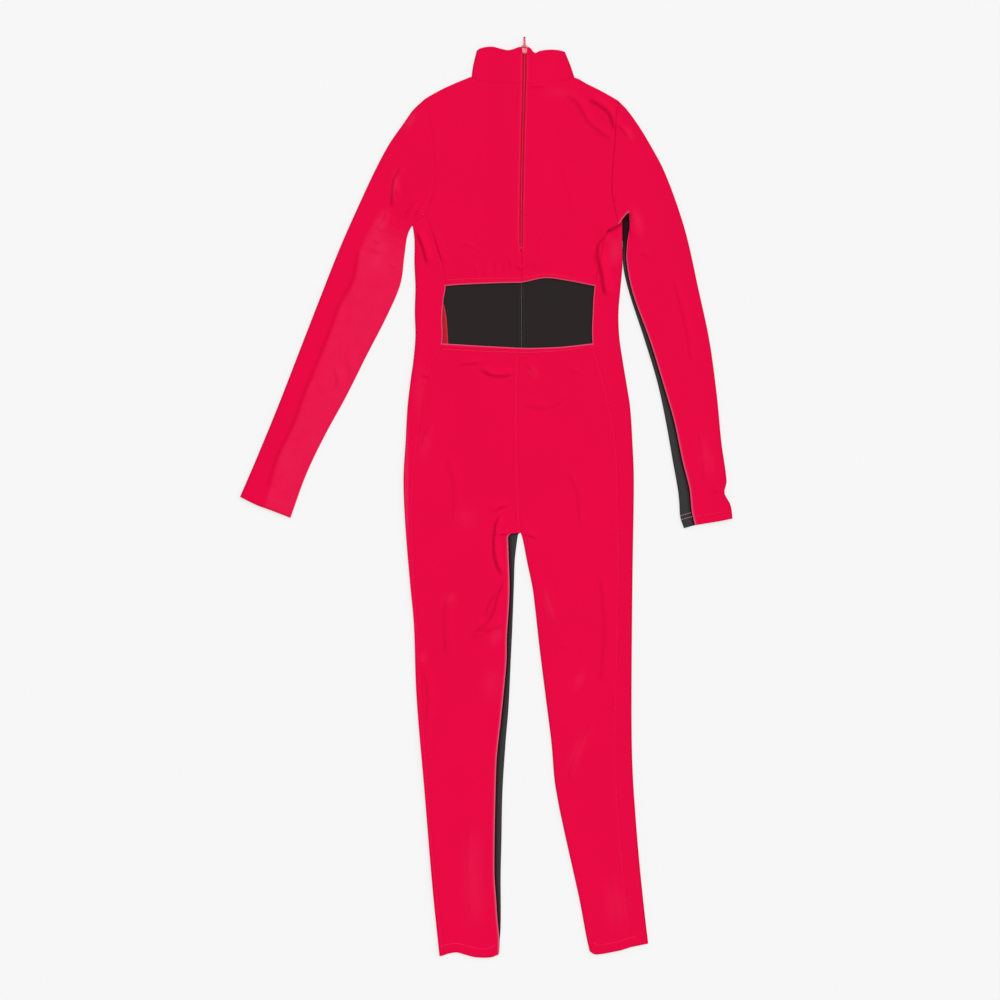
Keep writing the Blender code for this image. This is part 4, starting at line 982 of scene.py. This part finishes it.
def front_piece(name, panel):
    panel["grid"][..., 1] -= 1.6 * smooth(1 - panel["t"] / 6)
    x, y = panel["grid"][..., 0], panel["grid"][..., 1]
    points = raised(panel["grid"], front_relief(x, y))
    # Painted shade in the centre seam's groove, and a painted highlight on the ridges beside it.
    from_seam = np.abs(x - CENTRE_FRONT)
    shade = 0.25 * np.exp(-from_seam / 0.7)
    glow = 0.2 * bell(from_seam - 2.5, 1.2)
    obj = cloth(name + "_cloth", points, panel["l"], panel["b"], (shade, glow), BLACK_KNIT,
                flat_side=True)
    declare(obj, name)


CROTCH = -56.0
SEAM_APART = 0.9   # the armhole seam underneath lies this far beside the one on top
left = chain(rail(LEFT_FRONT_SEAM, -682, 424.5, 380), beside(flow(ARMHOLE_LEFT, 120), SEAM_APART))
inner_leg = rail(LEFT_LEG_BLACK, -683, CROTCH, 215) - (STRIP_ROLL, 0)
right = chain(inner_leg, np.stack([np.full(286, CENTRE_FRONT - 0.02),
                                   np.linspace(CROTCH, 592, 286)], 1))
panel = lay_out(left, right, flow([(-47, -682), (-33.5, -684.5), (-15.5, -688), (-0.5, -689),
                                   (10.5, -687.5), (17.2, -683)]),
                flow(SHOULDER_LEFT[:-1] + NECK_FRONT[:4]), fade=20)
front_piece("front_left", panel)

inner_leg = rail(RIGHT_LEG, -681, -54, 215) + (1.6, 0)
left = chain(inner_leg, np.stack([np.full(286, CENTRE_FRONT + 0.02),
                                  np.linspace(-53, 592, 286)], 1))
right = chain(rail(RIGHT_FRONT_SEAM, -678, 411, 380), flow(ARMHOLE_UNDER, 120))
panel = lay_out(left, right, flow([(155.6, -681), (161, -685), (170, -685), (190, -681.5),
                                   (203.5, -678)]),
                flow(NECK_FRONT[3:-1] + SHOULDER_RIGHT), fade=20)
front_piece("front_right", panel)

# %% [markdown]
# ## The black strips
# Where the black front rolls over an edge, a strip of it shows beside the red. Each strip is a
# half tube from under the edge, round it and back to go under the red rim.


# %% Strips
STRIP_TUCK = 1.2            # how far a strip goes on under the red


def strip(name, red_line, black_line, from_right, press, dusk=lambda y: 0.0):
    """`press` gives, along the strip, how much of its height is left where red lies over it, and
    painted shade darkens it there; `dusk` gives how much more painted shade it gets."""
    n = 300
    red, black = evenly(red_line, n), evenly(black_line, n)
    way = red - black
    span = np.maximum(np.hypot(*way.T), STRIP_ROLL + 0.6)
    way = way / np.hypot(*way.T)[:, None]
    cols, heights = [], []
    for a in (6.0, 3.5):                # flat on the floor, under the edge
        cols.append(black + way * a)
        heights.append(np.zeros(n))
    for angle in ARC[::-1]:
        cols.append(black + way * STRIP_ROLL * (1 - math.cos(angle)))
        heights.append(np.full(n, STRIP_ROLL * (1 + math.sin(angle))))
    for f in (0.1, 0.25, 0.4, 0.55, 0.68, 0.8, 0.9, 1.0):
        a = STRIP_ROLL + (span + STRIP_TUCK - STRIP_ROLL) * f
        cols.append(black + way * a[:, None])
        heights.append(2 * STRIP_ROLL - 1.35 * smooth((f - 0.35) / 0.6) + np.zeros(n))
    points = raised(np.stack(cols, 1), np.stack(heights, 1))
    y = points[..., 1]
    points[..., 2] *= press(y)
    # Painted shade: a dark band beside the red edge, and darker where the red lies over the strip.
    to_red = np.hypot(points[..., 0] - red[:, None, 0], y - red[:, None, 1])
    shade = np.maximum(0.95 * bell(to_red, 3.8), 1.6 * (1 - press(y)) + dusk(y))
    shade = np.clip(shade, 0, 0.97)
    across = np.concatenate([np.zeros((n, 1)), np.cumsum(np.linalg.norm(
        np.diff(points, axis=1), axis=-1), 1)], 1)
    if not from_right:
        points, shade, across = points[:, ::-1], shade[:, ::-1], -across[:, ::-1]
    along = np.repeat(steps_along(black)[:, None], points.shape[1], 1)
    obj = cloth(name, points, across, along, (shade, np.zeros_like(shade)), STRIP_KNIT, wall=0.8)
    declare(obj)


strip("front_left_strip", rail(LEFT_LEG_RED, -684.5, -52), rail(LEFT_LEG_BLACK, -684, -52), False,
      lambda y: 1 - 0.42 * smooth((y + 60) / 6) - 0.45 * smooth((-652 - y) / 14))

# %% [markdown]
# ## Sleeves
# Each sleeve has a red back that wraps round the outer edge and a black front beneath. On the
# right the black rolls over the inner edge as a strip that widens toward the cuff.


# %% Sleeves
def matched_sleeve(outer_points, inner_points):
    """Both edges of a sleeve, sampled so that their sections stay matched."""
    sides = []
    for points in (outer_points, inner_points):
        line = flow(points, 2000)
        near_to = [np.argmin(np.hypot(*(line - c).T)) for c in points]
        near_to[-1] = len(line) - 1
        sides.append(chain(*[evenly(line[a:b + 1], 40) for a, b in zip(near_to, near_to[1:])]))
    return sides


SLEEVE_UNDER = 11.0         # how far the red goes on under the sleeve


def sleeve_front(name, panel, wrapped, plain):
    """The black front of a sleeve starts beside the red that wraps under, flat on the floor."""
    way = panel["way"] if wrapped == "l" else -panel["way"]
    moved = (SLEEVE_UNDER + GAP) * smooth(1 - panel[wrapped] / 40)[..., None] * way[:, None]
    below_arm = smooth((400 - panel["grid"][..., 1]) / 12)
    moved = moved - (1.7 * smooth(1 - panel[plain] / 12) * below_arm)[..., None] * way[:, None]
    grid = panel["grid"] + moved
    points = raised(grid, np.full(grid.shape[:2], WALL))
    none = np.zeros(grid.shape[:2])
    obj = cloth(name + "_cloth", points, panel["l"], panel["b"], (none, none), BLACK_KNIT,
                flat_side=True)
    declare(obj, name)


cap = flow(ARMHOLE_LEFT[::-1][:7], 120)
outer, inner = matched_sleeve(SLEEVE_LEFT_OUTER, SLEEVE_LEFT_INNER)
cuff_left = flow([(-370, 0), (-346, -12), (-323, -20.5), (-294.5, -31.5)])
panel = lay_out(outer, inner, cuff_left, cap, fade=14, wrap="l")
upper_piece("sleeve_back_left", panel,
            {"r": "curl below 406", "t": "seam", "b": CUFF_HEM_LEFT},
            under=(panel["start"] + panel["way"] * SLEEVE_UNDER, 3))
panel = lay_out(outer, inner, cuff_left, beside(cap, -SEAM_APART), fade=14, cell=5.0)
sleeve_front("sleeve_front_left", panel, "l", "r")

cap = flow(ARMHOLE_RIGHT, 120)
inner, outer = matched_sleeve(SLEEVE_RIGHT_INNER, SLEEVE_RIGHT_OUTER)
cuff_right = flow([(312, -42.5), (334, -39), (352, -36), (368.5, -32.5)])
panel = lay_out(inner, outer, cuff_right, cap, fade=14, wrap="r")
upper_piece("sleeve_back_right", panel, {"l": "rim", "t": "seam deep", "b": CUFF_HEM_RIGHT},
            under=(panel["end"] - panel["way"] * SLEEVE_UNDER, 3),
            extra=over_fold)
sleeve_front("sleeve_front_right", lay_out(inner, outer, cuff_right, cap, fade=14, cell=5.0),
             "r", "l")
strip("sleeve_front_right_strip", flow(SLEEVE_RIGHT_INNER[:14], 400), flow(STRIP_RIGHT, 400),
      True, lambda y: 1 - 0.42 * smooth((y - 412) / 6),
      dusk=lambda y: 0.9 * smooth((y - 340) / 50))

# %% [markdown]
# ## Collar
# The stand collar is one folded band. Laid down it is flat, with its fold at the top, so the
# upper layer shows and the lower one is underneath, joined round both sides.


# %% Collar
UNDER_LOW, UNDER_HIGH = 594.0, 665.5    # the lower layer at the middle, bottom and top
SHOULDER = 629.0


def collar_half(name, neck, top_line, side_line, left):
    count = 200
    outer_side = flow(side_line, count)
    if left:
        sides = outer_side, zip_side(619, 675.5, -1, count)
    else:
        sides = zip_side(619, 675.8, 1, count), outer_side
    panel = lay_out(*sides, flow(neck), flow(top_line), fade=5, wrap="l" if left else "r",
                    cell=2.0)
    v = share_along(panel)
    middle = np.stack([np.full(len(v), CENTRE_FRONT),
                       UNDER_LOW + (UNDER_HIGH - UNDER_LOW) * v], 1)
    z = lift(panel["grid"][..., 0], panel["grid"][..., 1])
    styles = {"b": "seam", "t": "curl", ("r" if left else "l"): "zip"}
    z, marks = finish_edges(panel, z, styles)
    points, marks, across = wrap_round(panel, z, marks, ROLL, middle, 30)
    under = (across < -4) if left else (across > panel["l"].max(1)[:, None] + 4)
    f = np.clip(np.abs(points[..., 0] - (-20 if left else 128)) / 75, 0, 1)
    low = SHOULDER - (SHOULDER - UNDER_LOW) * (1 - (1 - f) ** 1.6)
    points[..., 1] = np.where(under, low + (UNDER_HIGH - low) * v[:, None], points[..., 1])
    along = np.repeat(panel["b"][:, :1], points.shape[1], 1)
    obj = cloth(name, points, across, along, marks, RED_KNIT)
    declare(obj,
            "collar" if left else None)


neck = NECK_LEFT[:-1] + [tuple(zip_side(619, 620, -1, 2)[0])]
collar_half("collar_left_cloth", neck, COLLAR_TOP_LEFT, COLLAR_LEFT_SIDE, True)
neck = [tuple(zip_side(619, 620, 1, 2)[0])] + NECK_RIGHT[1:]
collar_half("collar_right_cloth", neck, COLLAR_TOP_RIGHT, COLLAR_RIGHT_SIDE, False)

# %% [markdown]
# ## The seam allowance beside the cutout
# At the left of the cutout a strip of the seam's allowance turns out and lies on the black, with
# the loops of its overlock stitch along the seam.

# %% Seam allowance
outer_edge = rail(LEFT_BACK_SEAM, 224, 291, 60) - (1.5, 0)
inner_edge = flow([(-57.8, 224), (-58.6, 240), (-60.6, 268), (-63.0, 283), (-65.6, 291)], 60)
panel = lay_out(outer_edge, inner_edge, np.stack([outer_edge[0], inner_edge[0]]),
                np.stack([outer_edge[-1], inner_edge[-1]]), cell=1.6)
x, y = panel["grid"][..., 0], panel["grid"][..., 1]
z = 2.0 + 0.12 * np.sin(y * 0.35) - 0.25 * (1 - smooth(panel["r"] / 1.0))
# Painted shade beside the seam, and a painted highlight along the free edge.
shade = 0.55 * np.exp(-panel["l"] / 2.2)
glow = 0.8 * bell(panel["r"], 1.4)
points = raised(panel["grid"], z)
allowance = cloth("seam_allowance", points, panel["l"], panel["b"], (shade, glow),
                  ALLOWANCE_KNIT, wall=0.5)
declare(allowance)

# %% [markdown]
# ## Small pieces that repeat
# A coil zip and machine stitches are the same small bar over and over. One bar is modelled from
# a cylinder whose ends are drawn in, then copied to every place and joined.


# %% One bar and its copies
bpy.context.tool_settings.mesh_select_mode = (False, False, True)


def bar(length, width, height, sides=6):
    obj = added(bpy.ops.mesh.primitive_cylinder_add, vertices=sides, radius=0.5, depth=1,
                rotation=(0, math.pi / 2, 0))
    bpy.ops.object.transform_apply(location=False, rotation=True, scale=False)
    bpy.ops.object.mode_set(mode="EDIT")
    bpy.ops.mesh.select_all(action="DESELECT")
    bpy.ops.object.mode_set(mode="OBJECT")
    for face in obj.data.polygons:
        face.select = abs(face.normal.x) > 0.9
    bpy.ops.object.mode_set(mode="EDIT")
    bpy.ops.mesh.inset(thickness=0.18, depth=0.09)
    bpy.ops.object.mode_set(mode="OBJECT")
    obj.scale = (length * MM, width * MM, height * MM)
    bpy.ops.object.transform_apply(location=False, rotation=False, scale=True)
    bpy.ops.object.shade_smooth()
    return obj


def repeat(name, one, places, material):
    """Copies of a small piece at (x, y, z, angle), joined into one; its own mesh each."""
    bpy.ops.object.select_all(action="DESELECT")
    copies = []
    for x, y, z, angle in places:
        twin = one.copy()
        twin.data = one.data.copy()
        bpy.context.collection.objects.link(twin)
        twin.location = (np.array([x, y, z]) + PLACE) * MM
        twin.rotation_euler = (0, 0, angle)
        twin.select_set(True)
        copies.append(twin)
    bpy.context.view_layer.objects.active = copies[0]
    bpy.ops.object.join()
    obj = bpy.context.object
    bpy.ops.object.transform_apply(location=True, rotation=True, scale=True)
    obj.name = obj.data.name = name
    obj.data.materials.clear()
    obj.data.materials.append(material)
    bpy.data.objects.remove(one)
    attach(obj, "garment")
    print(name, len(copies), "copies,", len(obj.data.polygons), "faces")
    return obj


# %% [markdown]
# ## Zip
# A coil zip is two woven tapes with a nylon spiral sewn along each inner edge. The turns of the
# two spirals lock, so from above they read as a ladder of short bars, turn about from each side.

# %% Coil and tapes
COIL_Z, TURN = 3.6, 1.5             # height of the coil, and length of one turn
TAPE_Z, TAPE_STEP = 3.0, 0.7        # height of a tape, and how much higher it is at the coil
ys = np.arange(ZIP_END + 4.5, COIL_TOP, TURN / 2)
turns = [(at(ZIP_LINE, y) + (0.4 if k % 2 else -0.4), y, COIL_Z, 0.0) for k, y in enumerate(ys)]
coil = repeat("zip_coil_turns", bar(1.8, 0.95, 1.2), turns, COIL_NYLON)
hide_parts("zip_coil")

for side, way in (("left", -1), ("right", 1)):
    ys = np.linspace(ZIP_END - 6, COIL_TOP, 120)
    offsets = np.sort(np.array([0.25, 0.8, 1.6, 2.6, 4.0, 6.0, 8.0, 10.0]) * way)
    xs = at(ZIP_LINE, ys)[:, None] + offsets
    z = np.broadcast_to(TAPE_Z + TAPE_STEP * bell(offsets, 2.2), xs.shape)
    points = np.stack([xs, np.broadcast_to(ys[:, None], xs.shape), z], -1)
    across = np.broadcast_to(offsets[None], xs.shape)
    none = np.zeros(xs.shape)
    tape = cloth(f"zip_tape_{side}_cloth", points, across, points[..., 1], (none, none),
                 TAPE_WEAVE, wall=0.5)
    declare(tape, f"zip_tape_{side}")

# %% [markdown]
# ## Stitches
# Hems on stretch cloth are sewn with thread that lies on the surface as short, slightly sunken
# bars. One stitch is repeated along each line, and the seams on the back show theirs faintly.


# %% Stitching
def sew(name, line, material, height=0.2, top=None, pitch=3.4, length=2.5, thick=0.5,
        crosswise=False):
    spots = evenly(line, max(3, int(steps_along(line)[-1] / pitch)))
    way = np.gradient(spots, axis=0)
    turn = np.arctan2(way[:, 1], way[:, 0]) + (math.pi / 2 if crosswise else 0)
    z = lift(spots[:, 0], spots[:, 1]) if top is None else np.full(len(spots), top)
    places = [(x, y, h + height, a) for (x, y), h, a in zip(spots, z, turn)]
    return repeat(name, bar(length, thick, thick * 0.8), places, material)


hem_left = chain(flow([(-70, -688), (-65, -687.5)], 10), flow(HEM_LEFT, 90))
hem_right = flow(HEM_RIGHT + [(241, -670)], 90)
sew("hem_left_stitch", beside(hem_left, 13.8), LIT_THREAD)
sew("hem_right_stitch", beside(hem_right, 13.8), LIT_THREAD)
sew("cuff_left_stitch", beside(cuff_left, 11.3)[3:-3], LIT_THREAD)
sew("cuff_right_stitch", beside(cuff_right, 12.8)[3:-3], RED_THREAD)
for k, away in enumerate((12.0, 18.0)):
    band = beside(flow([(296.5, -47), (303, -45), (312.5, -42.5)], 30), away)[5:-1]
    sew(f"strip_cuff_stitch_{k}", band - (2.6, 0) + (0, 1.0), GREY_THREAD, top=2.95, height=0,
        pitch=2.6, length=2.4, thick=0.9)
cutout_top = chain(flow(CUTOUT_TOP[:4], 60), flow(CUTOUT_TOP[3:], 60))
cutout_bottom = chain(flow(CUTOUT_BOTTOM[:3], 60), flow(CUTOUT_BOTTOM[2:], 60))
sew("cutout_top_stitch", beside(cutout_top, 6.8)[2:-2], RED_THREAD, height=0.25)
sew("cutout_bottom_stitch", beside(cutout_bottom, -6.8)[2:-2], LIT_THREAD, height=0.25)
sew("overlock_stitch", rail(LEFT_BACK_SEAM, 230, 277, 40) + (1.8, 0), OVERLOCK_THREAD, top=2.1,
    height=0, pitch=3.2, length=3.4, thick=1.0, crosswise=True)
for name, line in (("centre_back", rail(CENTRE_BACK, -46, 214, 90)),
                   ("side_seam_right", rail(RIGHT_BACK_SEAM, -660, 224, 300)),
                   ("side_seam_left", rail(LEFT_BACK_SEAM, -670, 220, 300))):
    sew(name + "_stitch", line, RED_THREAD, height=-0.42, pitch=4.2, length=1.7, thick=0.5)

# %% [markdown]
# ## Slider and pull
# The slider is a cast metal body with a sunken face, two lugs and a pin. The pull hangs from the
# pin by its eye and lies over the collar's edge; its tip is a darker grey.


# %% Blocks for the hardware
def block(centre, size, bevel, sunk=0.0, narrow=1.0):
    """A bevelled block in millimetres. Its top may be sunk; `narrow` scales its width at the
    far end, or at the near end when negative."""
    obj = added(bpy.ops.mesh.primitive_cube_add, size=1)
    obj.scale = size
    bpy.ops.object.transform_apply(location=False, rotation=False, scale=True)
    if sunk:
        for face in obj.data.polygons:
            face.select = face.normal.z > 0.9
        bpy.ops.object.mode_set(mode="EDIT")
        bpy.ops.mesh.inset(thickness=min(size[:2]) * 0.2, depth=-sunk)
        bpy.ops.object.mode_set(mode="OBJECT")
    for vertex in obj.data.vertices:
        if vertex.co.y * narrow > 0:
            vertex.co.x *= abs(narrow)
    rounding = obj.modifiers.new("rounding", "BEVEL")
    rounding.width = bevel
    rounding.segments = 3
    rounding.limit_method = "ANGLE"
    bpy.ops.object.modifier_apply(modifier="rounding")
    obj.location = centre
    bpy.ops.object.transform_apply(location=True, rotation=False, scale=False)
    return obj


def join_as(name, parts, material):
    bpy.ops.object.select_all(action="DESELECT")
    for part in parts:
        part.select_set(True)
    bpy.context.view_layer.objects.active = parts[0]
    bpy.ops.object.join()
    obj = bpy.context.object
    obj.name = obj.data.name = name
    obj.data.materials.clear()
    obj.data.materials.append(material)
    return obj


def finish_metal(obj, points, replaces, body):
    put(obj, points)
    bpy.ops.object.shade_smooth_by_angle(angle=math.radians(40))
    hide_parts(replaces)
    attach(obj, body)
    print(obj.name, len(obj.data.polygons), "faces")


# %% Slider
SLIDER = np.array([56.4, 670.8])
PLATE_Z, FOOT_Z = 5.1, 1.5       # undersides of the slider's plate and foot
PIN = np.array([SLIDER[0], SLIDER[1] + 3.4, 8.0])
NECK_HIGH = PLATE_Z + 0.3 - FOOT_Z
parts = [block((*SLIDER, PLATE_Z + 0.5), (9.0, 11.0, 1.0), 0.35, sunk=0.25, narrow=-0.74),
         block((*SLIDER, FOOT_Z + NECK_HIGH / 2), (2.2, 5.0, NECK_HIGH), 0.2),
         block((*SLIDER, FOOT_Z + 0.45), (4.4, 8.0, 0.9), 0.25, narrow=-0.8)]
for way in (-1, 1):
    parts.append(block((PIN[0] + way * 2.9, PIN[1], PLATE_Z + 2.0), (1.1, 3.0, 3.4), 0.35))
parts.append(added(bpy.ops.mesh.primitive_cylinder_add, vertices=24, radius=0.7, depth=5.6,
                   location=PIN, rotation=(0, math.pi / 2, 0)))
bpy.ops.object.transform_apply(location=True, rotation=True, scale=False)
slider = join_as("zip_slider_cast", parts, PULL_ENAMEL)
finish_metal(slider, np.array([v.co for v in slider.data.vertices]), "zip_slider", "garment")

# %% Pull
TAB_DROP = math.radians(22)
DARK_FROM = 14.0                    # from here to the tip the pull is darker
eye = added(bpy.ops.mesh.primitive_torus_add, major_radius=1.35, minor_radius=0.4,
            major_segments=32, minor_segments=12, rotation=(0, math.pi / 2, 0))
bpy.ops.object.transform_apply(location=False, rotation=True, scale=False)
eye.scale = (3.8, 1, 1)
bpy.ops.object.transform_apply(location=False, rotation=False, scale=True)
tab = block((0, 8.95, 0), (4.4, 15.3, 1.1), 0.3, sunk=0.2, narrow=0.62)
grips = [block((0, y, 0.35), (2.3 - 0.1 * k, 0.55, 0.7), 0.12) for k, y in
         enumerate((10.4, 11.7, 13.0))]
tip = block((0, 15.4, 0), (2.95, 2.5, 1.25), 0.3)
pull = join_as("zip_pull_tab", [eye, tab, tip, *grips], PULL_ENAMEL)
pull.data.materials.append(PULL_DARK_TIP)
for face in pull.data.polygons:
    face.material_index = int(face.center.y > DARK_FROM)
tilt = np.array([[1, 0, 0], [0, math.cos(TAB_DROP), math.sin(TAB_DROP)],
                 [0, -math.sin(TAB_DROP), math.cos(TAB_DROP)]])
finish_metal(pull, np.array([v.co for v in pull.data.vertices]) @ tilt.T + PIN, "zip_pull",
             "zip_pull")
for material_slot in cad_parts["zip_stop"].material_slots:
    material_slot.material = COIL_NYLON
print("pin at", PIN)

# %% [markdown]
# ## Floor, light and camera
# The garment lies on a pale, plain floor, whose brightness is mostly its own, as on a light
# table. One broad, soft key comes from the upper right and the white surround fills the shadows.
# The camera looks straight down with a long lens.

# %% Stage
floor = added(bpy.ops.mesh.primitive_plane_add, size=12, location=(0, 0, -0.0002))
floor.name = "floor"
paper, nodes, links, shader = new_material("floor_paper")
FLOOR_GREY, FLOOR_GLOW = 0.30, 0.63     # what it gives back, and what it gives by itself
set_inputs(shader, {"Base Color": (FLOOR_GREY, FLOOR_GREY, FLOOR_GREY, 1),
                    "Emission Color": (1, 1, 1, 1), "Emission Strength": FLOOR_GLOW,
                    "Roughness": 0.95, "Specular IOR Level": 0.0})
floor.data.materials.append(paper)

FILL, KEY = 0.56, 1.77              # strengths of the surround and of the key
KEY_HEIGHT, KEY_SPREAD = 1.25, 70   # rise of the key per metre aside, and its angle in degrees
world = bpy.data.worlds.new("soft_sky")
world.use_nodes = True
set_inputs(world.node_tree.nodes["Background"], {"Color": (1, 1, 1, 1), "Strength": FILL})
bpy.context.scene.world = world

bpy.ops.object.light_add(type="SUN", location=(2, 2, 3))
key = bpy.context.object
key.data.energy = KEY
key.data.angle = math.radians(KEY_SPREAD)
key.rotation_euler = (math.atan2(np.hypot(*LIGHT_FROM), KEY_HEIGHT), 0,
                      math.atan2(LIGHT_FROM[1], LIGHT_FROM[0]) + math.pi / 2)

FIELD = 1.5                      # metres of floor across the frame
VIEW_CENTRE = (0.0205, -0.0042)
LENS, SENSOR = 100.0, 36.0
bpy.ops.object.camera_add(location=(*VIEW_CENTRE, FIELD * LENS / SENSOR), rotation=(0, 0, 0))
camera = bpy.context.object
camera.data.lens = LENS
camera.data.sensor_width = SENSOR
bpy.context.scene.camera = camera
bpy.context.scene.view_settings.view_transform = "Standard"
print("camera at", tuple(round(c, 3) for c in camera.location))
